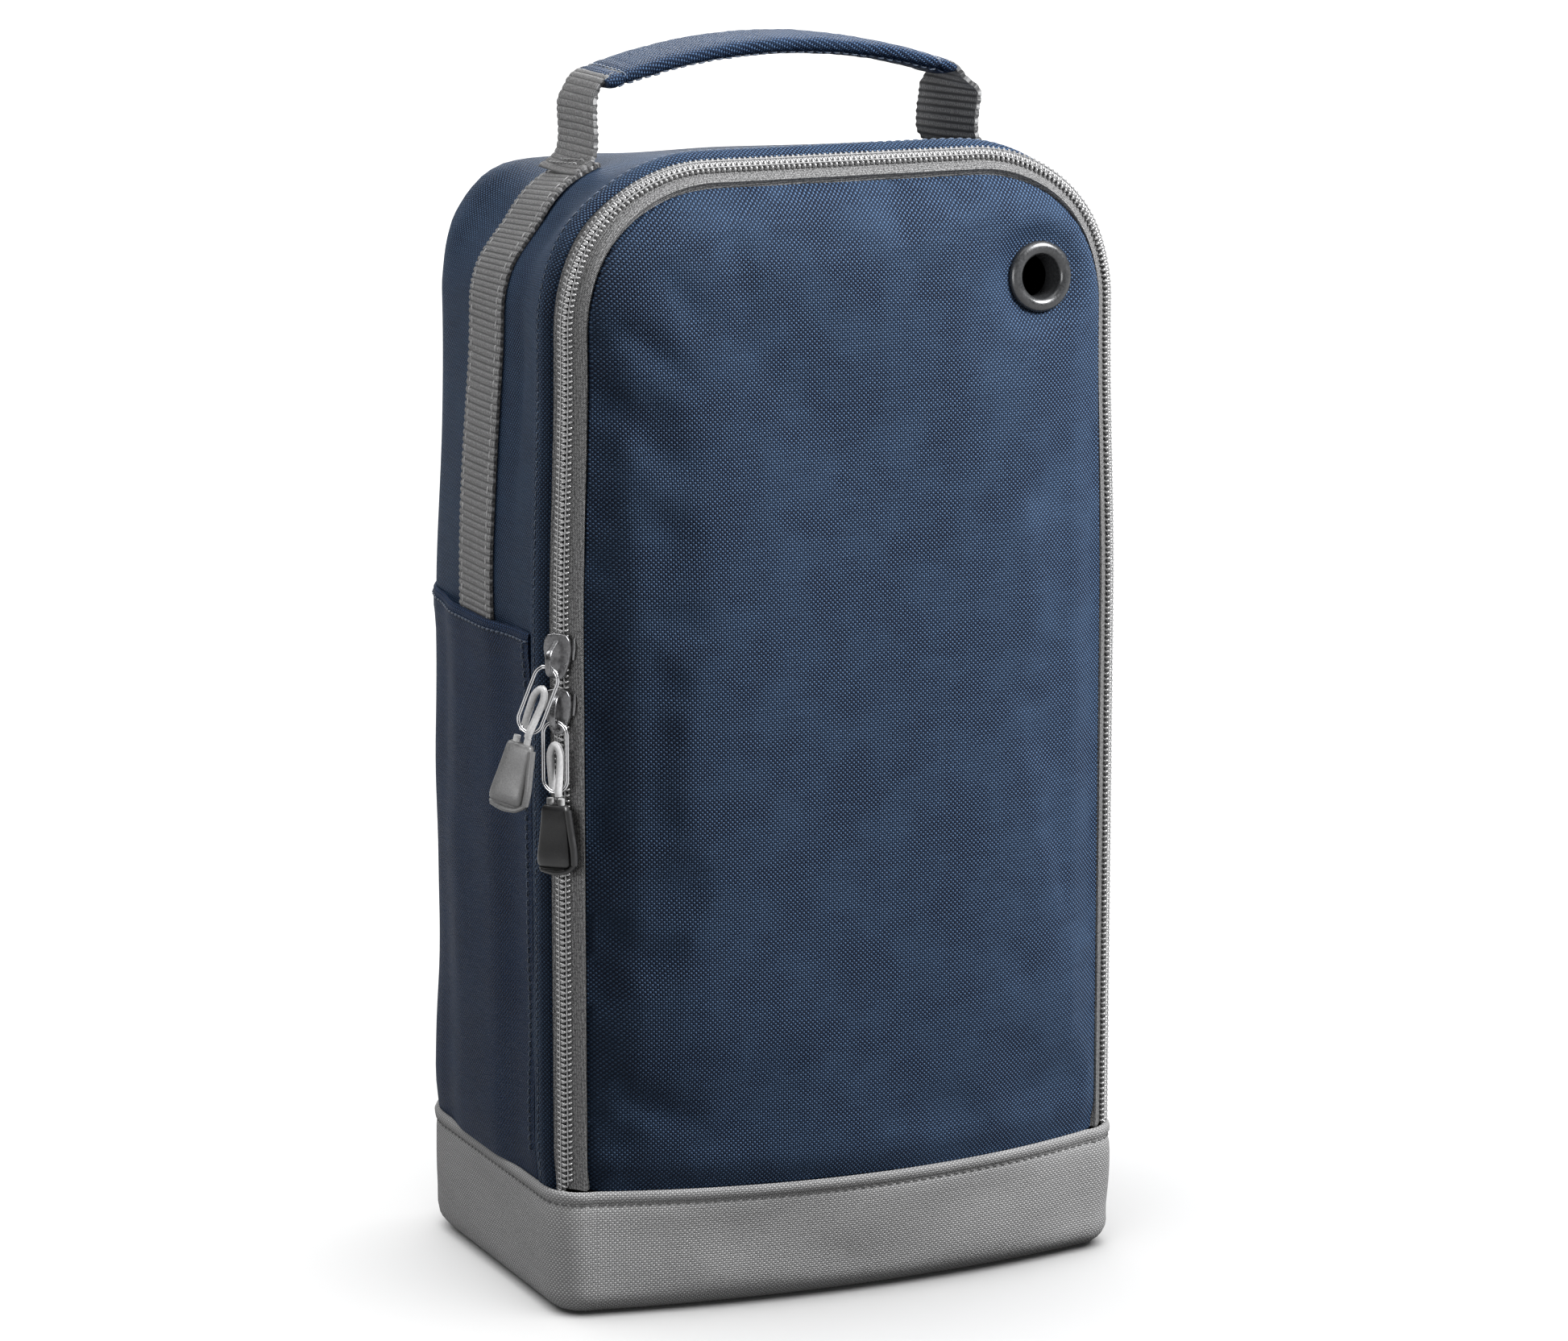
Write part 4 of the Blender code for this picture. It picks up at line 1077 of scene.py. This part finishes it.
CREASES = [((-0.074, 0.292), (-0.050, 0.270), 0.0035, 0.0010),
           ((-0.078, 0.276), (-0.060, 0.246), 0.0030, 0.0008),
           ((-0.062, 0.308), (-0.046, 0.284), 0.0032, 0.0009),
           ((-0.040, 0.318), (-0.034, 0.286), 0.0035, 0.0007),
           ((0.012, 0.322), (0.016, 0.290), 0.0040, 0.0005), ((0.074, 0.250), (0.056, 0.226), 0.0045, 0.0005),
           ((-0.079, 0.120), (-0.062, 0.100), 0.0040, 0.0006),
           ((-0.076, 0.070), (-0.050, 0.055), 0.0040, 0.0007),
           ((0.070, 0.060), (0.040, 0.050), 0.0050, 0.0006)]


def door_depth(x, z):
    """Depth of the padded door's face, with its pillowed edges and its creases."""
    y = front_surface(x, z)
    top = ZIP_TOP + DOOR_REACH
    radius = ZIP_RADIUS + DOOR_REACH
    edge = min(ZIP_HALF + DOOR_REACH - abs(x), top - z)
    across, rise = abs(x) - CORNER_X, z - CORNER_Z
    if across > 0 and rise > 0:
        edge = radius - math.hypot(across, rise)
    edge = max(edge, 0.0)
    roll = 0.0021 * max(1 - edge / 0.0065, 0.0) ** 2
    fuller = -0.0040 * smoothstep(edge, 0.0, 0.013) * (1 - smoothstep(edge, 0.018, 0.080))
    fuller *= smoothstep(z - DOOR_BOTTOM, 0.002, 0.050)
    soft = 0.0007 * noise.noise(Vector((x * 20, 9.0, z * 14))) * smoothstep(edge, 0.0, 0.02)
    folds = sum(crease(x, z, *c) for c in CREASES) * smoothstep(edge, 0.0, 0.006)
    seam = 0.0016 * (1 - smoothstep(z - DOOR_BOTTOM, 0.0, 0.010))
    face = y + roll + fuller + soft + folds + seam
    # The clinched eyelet holds the padding flat around itself.
    return face + (eyelet_plane(x, z) - face) * near_eyelet(x, z)


def near_eyelet(x, z):
    return 1 - smoothstep(math.hypot(x - EYELET_X, z - EYELET_Z), 0.0100, 0.0200)


def eyelet_plane(x, z):
    slope_x, slope_z = eyelet_slopes()
    return front_surface(EYELET_X, EYELET_Z) + slope_x * (x - EYELET_X) + slope_z * (z - EYELET_Z) + 0.0002


def inflate(obj, cap):
    """Let the door's cloth take up its slack under a little pressure, held all round its sewn edge."""
    mesh = obj.data
    rest = np.array([v.co for v in mesh.vertices])
    pinned = obj.vertex_groups.new(name="sewn")
    rim = set()
    edge_uses = {}
    for polygon in mesh.polygons:
        for key in polygon.edge_keys:
            edge_uses[key] = edge_uses.get(key, 0) + 1
    for key, uses in edge_uses.items():
        if uses == 1:
            rim.update(key)
    pinned.add(sorted(rim), 1.0, "REPLACE")
    cloth = obj.modifiers.new("cloth", "CLOTH")
    settings = cloth.settings
    settings.vertex_group_mass = "sewn"
    settings.quality = 6
    settings.mass = 0.15
    settings.tension_stiffness = 25
    settings.compression_stiffness = 25
    settings.shear_stiffness = 12
    settings.bending_stiffness = 4.0
    settings.use_pressure = True
    settings.uniform_pressure_force = 1.2
    settings.shrink_min = -0.004
    settings.effector_weights.gravity = 0.0
    cloth.collision_settings.use_collision = False
    cloth.point_cache.frame_start = 1
    cloth.point_cache.frame_end = 20
    scene = bpy.context.scene
    for number in range(1, 21):
        scene.frame_set(number)
    evaluated = obj.evaluated_get(bpy.context.evaluated_depsgraph_get())
    moved = np.array([v.co for v in evaluated.data.vertices])
    obj.modifiers.clear()
    obj.vertex_groups.clear()
    scene.frame_set(1)
    change = moved - rest
    size = np.linalg.norm(change, axis=1, keepdims=True)
    change *= np.minimum(1.0, cap / np.maximum(size, 1e-9))
    change *= np.array([[1.0 - near_eyelet(x, z)] for x, _, z in rest])
    for vertex, place in zip(mesh.vertices, rest + change):
        vertex.co = place
    mesh.update()


def build_door():
    heights = door_heights()
    columns = 58
    rows = []
    for z in heights:
        half = door_half_width(z)
        row = []
        for share in shares(columns):
            # Columns gather towards the edges, where the cloth turns.
            share = math.sin(share * math.pi / 2) * 0.35 + share * 0.65
            x = half * share
            y = door_depth(x, z)
            row.append(Vector((x, y, z - sag(y, z))))
        rows.append(row)
    panel = grid("front_padded_panel", rows, NAVY)
    layer = panel.data.uv_layers["cloth"]
    for loop in panel.data.loops:
        place = panel.data.vertices[loop.vertex_index].co
        layer.data[loop.index].uv = (place.x, place.z)
    face_outwards(panel, BAG_MIDDLE)
    inflate(panel, 0.0012)
    padding(panel, len(rows), columns + 1)
    frame_matrix = eyelet_frame()
    drill(panel, frame_matrix)
    shade(panel, 50)
    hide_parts("front_panel", "front_foam", "front_lining")
    hinge_bend(panel)
    build_eyelet(frame_matrix)


def padding(panel, height, width):
    """Close the panel with its lining behind, a foam's thickness away, pinched together at the sewn edge."""
    front = [v.co.copy() for v in panel.data.vertices]
    faces = [tuple(p.vertices) for p in panel.data.polygons]
    back = []
    for index, place in enumerate(front):
        i, j = divmod(index, width)
        edge = min(min(i, height - 1 - i) / 3, min(j, width - 1 - j) / 3, 1.0)
        back.append(place + Vector((0, 0.0022 + 0.0020 * edge, 0)))
    count = len(front)
    ring = list(range(width)) + [i * width + width - 1 for i in range(1, height)]
    ring += [(height - 1) * width + j for j in range(width - 2, -1, -1)] + [i * width
                                                                            for i in range(height - 2, 0, -1)]
    sides = [(ring[k], ring[(k + 1) % len(ring)]) for k in range(len(ring))]
    mesh = bpy.data.meshes.new("front_padded_panel")
    every = faces + [tuple(count + v for v in reversed(face)) for face in faces]
    first = faces[0]
    along = any((a, b) == (first[k], first[(k + 1) % 4]) for a, b in sides for k in range(4))
    every += [(b, a, count + a, count + b) if along else (a, b, count + b, count + a) for a, b in sides]
    mesh.from_pydata([tuple(p) for p in front + back], [], every)
    layer = mesh.uv_layers.new(name="cloth")
    for loop in mesh.loops:
        place = mesh.vertices[loop.vertex_index].co
        layer.data[loop.index].uv = (place.x, place.z)
    mesh.materials.append(NAVY)
    mesh.materials.append(LINING)
    for polygon in mesh.polygons:
        polygon.material_index = 1 if len(faces) <= polygon.index < 2 * len(faces) else 0
    panel.data = mesh


def drill(panel, matrix):
    mesh = bpy.data.meshes.new("drill")
    shape = bmesh.new()
    bmesh.ops.create_cone(shape, cap_ends=True, segments=48, radius1=0.0071, radius2=0.0071, depth=0.03,
                          matrix=matrix)
    shape.to_mesh(mesh)
    shape.free()
    tool = link("drill", mesh)
    modifier = panel.modifiers.new("hole", "BOOLEAN")
    modifier.operation = "DIFFERENCE"
    modifier.object = tool
    modifier.solver = "EXACT"
    bake(panel)
    bpy.data.objects.remove(tool, do_unlink=True)


def turned(name, profile, matrix, material, steps=96):
    """A ring turned from a closed (radius, height) profile."""
    count = len(profile)
    points = [matrix @ Vector((r * math.cos(2 * math.pi * i / steps), r * math.sin(2 * math.pi * i / steps),
                               h))
              for i in range(steps) for r, h in profile]
    faces = [(i * count + j, ((i + 1) % steps) * count + j, ((i + 1) % steps) * count + (j + 1) % count,
              i * count + (j + 1) % count) for i in range(steps) for j in range(count)]
    mesh = bpy.data.meshes.new(name)
    mesh.from_pydata([tuple(p) for p in points], [], faces)
    ring = link(name, mesh, material)
    tidy_normals(ring)
    return shade(ring, 35)


def build_eyelet(matrix):
    rim = []
    for i in range(15):
        angle = math.radians(-10 + 200 * i / 14)
        rim.append((0.0083 + 0.0020 * math.cos(angle), 0.0003 + 0.0016 * math.sin(angle)))
    rim += [(0.0061, -0.0006), (0.00595, -0.0020), (0.00595, -0.0062), (0.0064, -0.0062), (0.0066, 0.0),
            (0.0101, 0.0)]
    eyelet = turned("eyelet_ring", rim, matrix, GUNMETAL)
    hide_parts("eyelet")
    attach(eyelet, "door")
    back = -0.0053
    flat = [(0.0100, back), (0.0100, back - 0.0005), (0.0092, back - 0.0009), (0.0078, back - 0.0009),
            (0.0071, back - 0.0005), (0.0071, back)]
    washer = turned("eyelet_back_ring", flat, matrix, GUNMETAL)
    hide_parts("eyelet_washer")
    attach(washer, "door")


# ---- Handle -------------------------------------------------------------------------------------
def grip_point(share):
    return GRIP_HALF * share, GRIP_Z - GRIP_DROP * share ** 2


def handle_line():
    """Middle line of the handle's webbing as dense (x, z) points, left foot to right foot."""
    foot = [(HANDLE_X + out, shoulder_height(HANDLE_X + out, 0) + up)
            for out, up in ((0.0064, 0.0002), (0.0044, 0.0005), (0.0025, 0.0010), (0.0010, 0.0020))]
    left = [(-x, z) for x, z in foot] + [(-HANDLE_X - 0.0001, 0.3325), (-HANDLE_X + 0.0002, 0.3370),
            (-HANDLE_X - 0.0001, 0.3430), (-HANDLE_X + 0.0003, 0.3490), (-HANDLE_X + 0.0022, 0.3524),
            (-HANDLE_X + 0.0055, 0.3541)]
    middle = [grip_point(s / 10) for s in range(-9, 10)]
    right = [(HANDLE_X - 0.0055, 0.3541), (HANDLE_X - 0.0020, 0.3524), (HANDLE_X + 0.0002, 0.3495),
             (HANDLE_X + 0.0006, 0.3440), (HANDLE_X - 0.0002, 0.3380),
             (HANDLE_X - 0.0003, 0.3325)] + foot[::-1]
    return smooth_line([Vector((x, 0, z)) for x, z in left + middle + right], RIB / 6)


def smooth_line(knots, step):
    """A dense smooth curve through the knots."""
    points = []
    for i in range(len(knots) - 1):
        before, start = knots[max(i - 1, 0)], knots[i]
        end, after = knots[i + 1], knots[min(i + 2, len(knots) - 1)]
        count = max(int((end - start).length / step), 1)
        for k in range(count):
            t = k / count
            points.append(0.5 * ((2 * start) + (end - before) * t
                                 + (2 * before - 5 * start + 4 * end - after) * t ** 2
                                 + (3 * start - before - 3 * end + after) * t ** 3))
    points.append(knots[-1].copy())
    return points


def build_handle():
    line = handle_line()
    along = rib_phases(lengths(line), 5)
    columns = 18
    rows = []
    for i, place in enumerate(line):
        run = (line[min(i + 1, len(line) - 1)] - line[max(i - 1, 0)]).normalized()
        out = Vector((-run.z, 0, run.x))
        leg = 1 - smoothstep(place.z, PIVOT_Z, PIVOT_Z + 0.006)
        row = []
        for share in shares(columns):
            ridge = rib_height(along[i], share)
            width = STRAP_HALF * (1 - 0.05 * (1 - leg))
            cup = 0.0009 * share * share * leg
            # Both legs are twisted a little, the right one more.
            turn = (-0.30 if place.x > 0 else -0.05) * share * width * leg
            row.append(place + Vector((turn, share * width, 0)) + out * (ridge + cup))
        rows.append(row)
    across = [STRAP_HALF * share for share in shares(columns)]
    webbing = grid("handle_strap", rows, WEBBING, (across, along))
    sewn(webbing, 0.0013, (0, 0, 0.30), 60, 0.0)
    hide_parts("handle_webbing")
    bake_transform(webbing)
    lines = []
    for side in (-1, 1):
        for out in (0.0030, 0.0052):
            x = side * (HANDLE_X + out)
            lines.append(([Vector((x, y / 1000, shoulder_height(x, y / 1000) + 0.0018))
                           for y in range(-11, 12)],
                          arch_out))
    stitches("handle_foot_stitching", lines, GREY_THREAD, "bag", 0.0022, 0.0031, 0.00022)
    build_sleeve()


def shoulder_height(x, y):
    """Top of the side strap over the shoulder."""
    reach = REACH + GAP + STRAP
    corner = abs(x) - CORNER_X
    radius = ZIP_RADIUS + reach
    angle = math.acos(min(max(corner / radius, 0), 1))
    return on_wall((1 if x > 0 else -1, "arc", angle), reach, y).z


def build_sleeve():
    stations = 80
    half = 0.0145
    reach = 1.095
    ring = 40
    rows = []
    for i in range(stations + 1):
        share = reach * (2 * i / stations - 1)
        x, z = grip_point(share)
        lean = math.atan(-2 * GRIP_DROP * share / GRIP_HALF)
        end = 1 - smoothstep(abs(share), reach - 0.045, reach)
        swell = 1 + 0.06 * math.cos(share * 3) + 0.05 * noise.noise(Vector((share * 6, 2, 0)))
        row = []
        for angle in turns(ring):
            c, s = math.cos(angle), math.sin(angle)
            across = swollen(c, 0.62) * half * (0.985 + 0.01 * end)
            up = swollen(s, 0.72)
            rise = up * (0.0020 if s > 0 else 0.0036) * (0.55 + 0.45 * end) * swell
            # A flat seam runs under the grip, and each end is stitched down.
            rise -= 0.0006 * math.exp(-((abs(share) - 0.99) / 0.018) ** 2) * (1 if s > 0 else -1)
            ripple = 0.00025 * noise.noise(Vector((share * 26, angle * 1.4, 4)))
            rise += ripple * (1 if s > 0 else -1)
            row.append(Vector((x - rise * math.sin(lean), across, z + rise * math.cos(lean))))
        rows.append(row)
    uvs = measured(rows, True)
    sleeve = grid("grip_sleeve", rows, NAVY_TWILL, uvs, closed=True)
    face_outwards(sleeve, (0, 0, 0.358))
    cap_ends(sleeve)
    shade(sleeve, 50)
    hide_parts("handle_sleeve", "handle_core")
    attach(sleeve, "handle")
    lines = []
    for side in (-1, 1):
        station = round((side * 0.99 / reach + 1) / 2 * stations)
        lines.append(([rows[station][k] for k in range(1, ring // 2)], (0, 0, 1)))
    seam = int(ring * 0.60)
    lines.append(([row[seam] for row in rows[2:-2]], (0, -0.3, -1)))
    stitches("grip_stitching", lines, NAVY_THREAD, "handle", 0.0020, 0.0028)


# ---- Sliders and pulls --------------------------------------------------------------------------
def zip_frame(z):
    """Local X across the zip to the outside, local Y out of its face, local Z up."""
    return Matrix.Translation((-ZIP_HALF, ZIP_Y, z)) @ Matrix.Rotation(math.radians(135), 4, "Z")


def rounded_plate(outline, low, high, bevel, matrix):
    """A plate in the local XZ plane between two heights along Y, with rounded edges."""
    shape = bmesh.new()
    base = [shape.verts.new((x, low, z)) for x, z in outline]
    face = shape.faces.new(base)
    grown = bmesh.ops.extrude_face_region(shape, geom=[face])
    verts = [g for g in grown["geom"] if isinstance(g, bmesh.types.BMVert)]
    bmesh.ops.translate(shape, vec=(0, high - low, 0), verts=verts)
    bmesh.ops.recalc_face_normals(shape, faces=shape.faces)
    bmesh.ops.bevel(shape, geom=list(shape.edges), offset=bevel, segments=3, affect="EDGES", profile=0.6)
    bmesh.ops.transform(shape, matrix=matrix, verts=shape.verts)
    bmesh.ops.triangulate(shape, faces=[f for f in shape.faces if len(f.verts) > 4])
    # The bevel leaves its corners and faces in an order of its own, so both are sorted.
    corners = sorted(shape.verts, key=lambda v: tuple(v.co))
    points = [v.co.copy() for v in corners]
    index = {v: i for i, v in enumerate(corners)}
    faces = []
    for face in shape.faces:
        loop = [index[v] for v in face.verts]
        # A four-sided face only starts at a corner on its own first diagonal, which keeps its two triangles.
        first = loop.index(min(loop[::2] if len(loop) == 4 else loop))
        faces.append(tuple(loop[first:] + loop[:first]))
    shape.free()
    return points, sorted(faces)


def build_slider(place):
    z, standoff = SLIDER_Z[place], STANDOFF[place]
    matrix = zip_frame(z)
    outline = [(-0.0038, 0.0034), (-0.0030, 0.0048), (-0.0012, 0.0052), (0.0012, 0.0052), (0.0030, 0.0048),
               (0.0038, 0.0034), (0.0041, 0.0005), (0.0036, -0.0030), (0.0024, -0.0064), (0.0014, -0.0078),
               (-0.0014, -0.0078), (-0.0024, -0.0064), (-0.0036, -0.0030), (-0.0041, 0.0005)]
    shapes = [rounded_plate(outline, 0.0024, 0.0037, 0.0004, matrix)]
    # Side flanges wrap the chain.
    for side in (-1, 1):
        rail = [(side * 0.0041, 0.0008, 0.0036), (side * 0.0043, 0.0016, 0.0010),
                (side * 0.0041, 0.0016, -0.0024)]
        shapes.append(tube([matrix @ Vector(p) for p in rail], [0.0004, 0.0006, 0.0004], 8))
    # The crown over the middle holds the ring's wire.
    crown_top = standoff + 0.0019
    knots = [(0.0034, 0.0030), (0.0026, 0.0050), (0.0006, crown_top - 0.0008), (-0.0020, crown_top),
             (-0.0046, crown_top - 0.0003), (-0.0062, crown_top - 0.0022), (-0.0067, 0.0048),
             (-0.0066, 0.0032)]
    arc = smooth_line([matrix @ Vector((0, out, along)) for along, out in knots], 0.0006)
    widths = [0.00070 + 0.00020 * math.sin(math.pi * i / (len(arc) - 1)) for i in range(len(arc))]
    across = (matrix.to_3x3() @ Vector((1, 0, 0))).normalized()
    points = []
    sides = 12
    for i, spot in enumerate(arc):
        run = (arc[min(i + 1, len(arc) - 1)] - arc[max(i - 1, 0)]).normalized()
        up = across.cross(run).normalized()
        points += [spot + across * widths[i] * swollen(math.cos(a), 0.7)
                   + up * 0.00042 * swollen(math.sin(a), 0.8)
                   for a in turns(sides)]
    shapes.append((points, ring_faces(len(arc), sides)))
    slider = join_shapes("slider_%s_body" % place, shapes, SLIDER_METAL)
    tidy_normals(slider)
    shade(slider, 45)
    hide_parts("slider_" + place)
    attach(slider, place + "_slider")


def stadium(half, length, steps=16):
    points = []
    for i in range(steps + 1):
        angle = math.pi * i / steps
        points.append(Vector((half * math.cos(angle), 0, -half + half * math.sin(angle))))
    for i in range(steps + 1):
        angle = math.pi + math.pi * i / steps
        points.append(Vector((half * math.cos(angle), 0, half - length + half * math.sin(angle))))
    return points


def cord_route():
    foot, aside = -RING_LENGTH, 0.0016
    knots = [(-aside, aside, foot - 0.0004), (-aside, aside, foot + 0.0015), (-aside, 0.0006, foot + 0.0060),
             (-0.0015, 0.0, foot + 0.0115), (0.0, 0.0, foot + 0.0140), (0.0015, 0.0, foot + 0.0115),
             (aside, -0.0006, foot + 0.0060), (aside, -aside, foot + 0.0015), (aside, -aside, foot - 0.0004)]
    return smooth_line([Vector(k) for k in knots], 0.0006)


def build_pull(place):
    pivot = zip_frame(SLIDER_Z[place] - RING_DROP) @ Matrix.Translation((0, STANDOFF[place], 0))
    hang = pivot @ Matrix.Rotation(-RING_TILT[place], 4, "Y")
    # The ring is a double turn of wire.
    shapes = []
    for inset in (0.0, 0.00060):
        loop = [hang @ (p - Vector((0, 0, inset)))
                for p in stadium(RING_HALF - inset, RING_LENGTH - 2 * inset)]
        shapes.append(ring_tube(loop, 0.00026, 8))
    ring = shade(join_shapes("ring_%s_wire" % place, shapes, STEEL), 60)
    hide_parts("ring_" + place)
    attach(ring, place + "_ring")
    cord = shade(join_shapes("pull_cord_" + place,
                             [tube([hang @ p for p in cord_route()], 0.00125, 14, flatten=0.84)],
                             CORD), 60)
    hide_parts("cord_" + place)
    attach(cord, place + "_ring")
    swing = hang @ Matrix.Translation((0, 0, -RING_LENGTH - TAG_DROP))
    swing = swing @ Matrix.Rotation(RING_TILT[place] - TAG_TILT[place], 4, "Y")
    swing = swing @ Matrix.Rotation(TAG_LEAN[place], 4, "X")
    build_tag(place, swing)


def build_tag(place, matrix):
    """A moulded grip that widens and thickens to its foot, with a rib down one side and a lip below."""
    levels = [(0.0008, 0.0032, 0.0010), (0.0003, 0.0037, 0.0016), (-0.0008, 0.0040, 0.0019),
              (-0.0048, 0.0043, 0.0021),
              (-0.0088, 0.0047, 0.0023), (-0.0118, 0.0050, 0.0026), (-0.0140, 0.0052, 0.0029),
              (-0.0156, 0.0052, 0.0029),
              (-0.0166, 0.0050, 0.0026), (-0.0171, 0.0046, 0.0019), (-0.0175, 0.0050, 0.0021),
              (-0.0183, 0.0047, 0.0018),
              (-0.0190, 0.0037, 0.0010)]
    sides = 28
    rows = [[matrix @ Vector((swollen(math.cos(a), 0.45) * w, swollen(math.sin(a), 0.45) * d, z))
             for a in turns(sides)] for z, w, d in levels]
    # The upper tag takes the lighter copy of the black plastic: a painted highlight.
    plastic = TAG_PAINTED_HIGHLIGHT if place == "upper" else TAG
    body = grid("tag_%s_body" % place, rows, plastic, closed=True)
    cap_ends(body)
    tidy_normals(body)
    # The rib, the lip, and the cord's two ends in the top.
    rib = smooth_line([matrix @ Vector(p) for p in ((-0.0042, 0.0012, -0.0004), (-0.0053, 0.0015, -0.0070),
                                                    (-0.0062, 0.0018, -0.0120), (-0.0063, 0.0016, -0.0160))],
                      0.001)
    foot = smooth_line([matrix @ Vector(p) for p in ((-0.0062, 0.0012, -0.0160), (-0.0040, 0.0016, -0.0180),
                                                     (0.0, 0.0018, -0.0186), (0.0040, 0.0012, -0.0180))],
                       0.001)
    extra = join_shapes("tag_%s_face" % place, [tube(rib, 0.00105, 10), tube(foot, 0.0008, 10)], plastic)
    tidy_normals(extra)
    ends = []
    for side in (-1, 1):
        post = [matrix @ Vector((side * 0.0017, 0, 0.0004)), matrix @ Vector((side * 0.0017, 0, 0.0026))]
        ends.append(tube(post, 0.0010, 12))
    ends = join_shapes("tag_%s_cord_ends" % place, ends, CORD)
    shade(ends, 60)
    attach(ends, place + "_tag")
    for piece in (body, extra):
        shade(piece, 40)
        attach(piece, place + "_tag")
    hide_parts("tag_" + place)


# ---- Carried-over CAD pieces --------------------------------------------------------------------
def finish_cad():
    """The stiffening board is the CAD's own solid with a material."""
    node = frame["nodes"]["base_board"]
    node.data.materials.clear()
    node.data.materials.append(BOARD)


# ---- Camera, light and floor --------------------------------------------------------------------
def build_camera():
    flat = math.cos(VIEW_TILT)
    forward = Vector((math.sin(VIEW_TURN) * flat, math.cos(VIEW_TURN) * flat, -math.sin(VIEW_TILT)))
    data = bpy.data.cameras.new("camera")
    data.sensor_width = SENSOR_WIDTH
    data.lens = FOCAL_SHARE * SENSOR_WIDTH
    camera = link("camera", data)
    camera.location = VIEW_TARGET - forward * VIEW_DISTANCE
    camera.rotation_euler = forward.to_track_quat("-Z", "Y").to_euler()
    data.clip_end = 50.0
    bpy.context.scene.camera = camera


def softbox(name, azimuth, elevation, distance, size, power, aim=(0, 0, 0.18)):
    turn, rise = math.radians(azimuth), math.radians(elevation)
    away = Vector((math.sin(turn) * math.cos(rise), -math.cos(turn) * math.cos(rise), math.sin(rise)))
    data = bpy.data.lights.new(name, "AREA")
    data.shape = "RECTANGLE"
    data.size, data.size_y = size
    data.energy = power
    light = link(name, data)
    light.location = Vector(aim) + away * distance
    light.rotation_euler = (-away).to_track_quat("-Z", "Y").to_euler()
    return light


def build_studio():
    n = Nodes("pale_floor")
    cloudy = n.noise(n.place(), 1.5, 2.0)
    n.finish(n.mix(cloudy, (0.80, 0.80, 0.80), (0.84, 0.84, 0.84)), 0.9, n.noise(n.place(), 400.0), 0.00002)
    mesh = bpy.data.meshes.new("floor")
    reach = 14.0
    corners = [(-reach, -reach, 0), (reach, -reach, 0), (reach, reach, 0), (-reach, reach, 0)]
    mesh.from_pydata(corners, [], [(0, 1, 2, 3)])
    floor = link("floor", mesh, n.material)
    floor.visible_diffuse = False
    world = bpy.data.worlds.new("studio")
    bpy.context.scene.world = world
    world.use_nodes = True
    world.node_tree.nodes["Background"].inputs[0].default_value = (1, 1, 1, 1)
    world.node_tree.nodes["Background"].inputs[1].default_value = 0.10
    key = softbox("key", 48, 40, 1.15, (0.42, 0.42), 38)
    fill = softbox("side_fill", -116, 56, 0.85, (0.45, 0.5), 5.6)
    top = softbox("top", 10, 80, 1.0, (0.8, 0.8), 4.5)
    back = softbox("back", 160, 30, 1.7, (0.8, 0.8), 17)
    only_bag = bpy.data.collections.new("lit_by_studio")
    only_bag.objects.link(floor)
    only_bag.collection_objects[0].light_linking.link_state = "EXCLUDE"
    for light in (key, fill, top, back):
        light.light_linking.receiver_collection = only_bag
    sun = bpy.data.lights.new("floor_light", "SUN")
    sun.energy = 4.6
    sun.angle = math.radians(100)
    lamp = link("floor_light", sun)
    only_floor = bpy.data.collections.new("lit_floor")
    only_floor.objects.link(floor)
    lamp.light_linking.receiver_collection = only_floor
    bpy.context.scene.view_settings.view_transform = "Standard"


def light_details():
    """A low light from the left that only reaches the zip, the webbing, the pulls and the base band."""
    accent = softbox("accent", -48, 14, 1.2, (0.5, 0.5), 9.5, (0, 0, 0.12))
    details = bpy.data.collections.new("lit_details")
    lit = ("zip_tape_", "zip_coil_", "side_strap", "handle_strap", "tag_upper", "ring_", "pull_cord",
           "base_band_cloth", "band_", "eyelet")
    for obj in bpy.context.scene.objects:
        if obj.name.startswith(lit):
            details.objects.link(obj)
    accent.light_linking.receiver_collection = details


build_camera()
build_studio()
build_walls()
build_back()
build_base()
build_pockets()
build_side_straps()
build_tapes()
build_door()
build_handle()
for which in ("upper", "lower"):
    build_slider(which)
    build_pull(which)
finish_cad()
light_details()
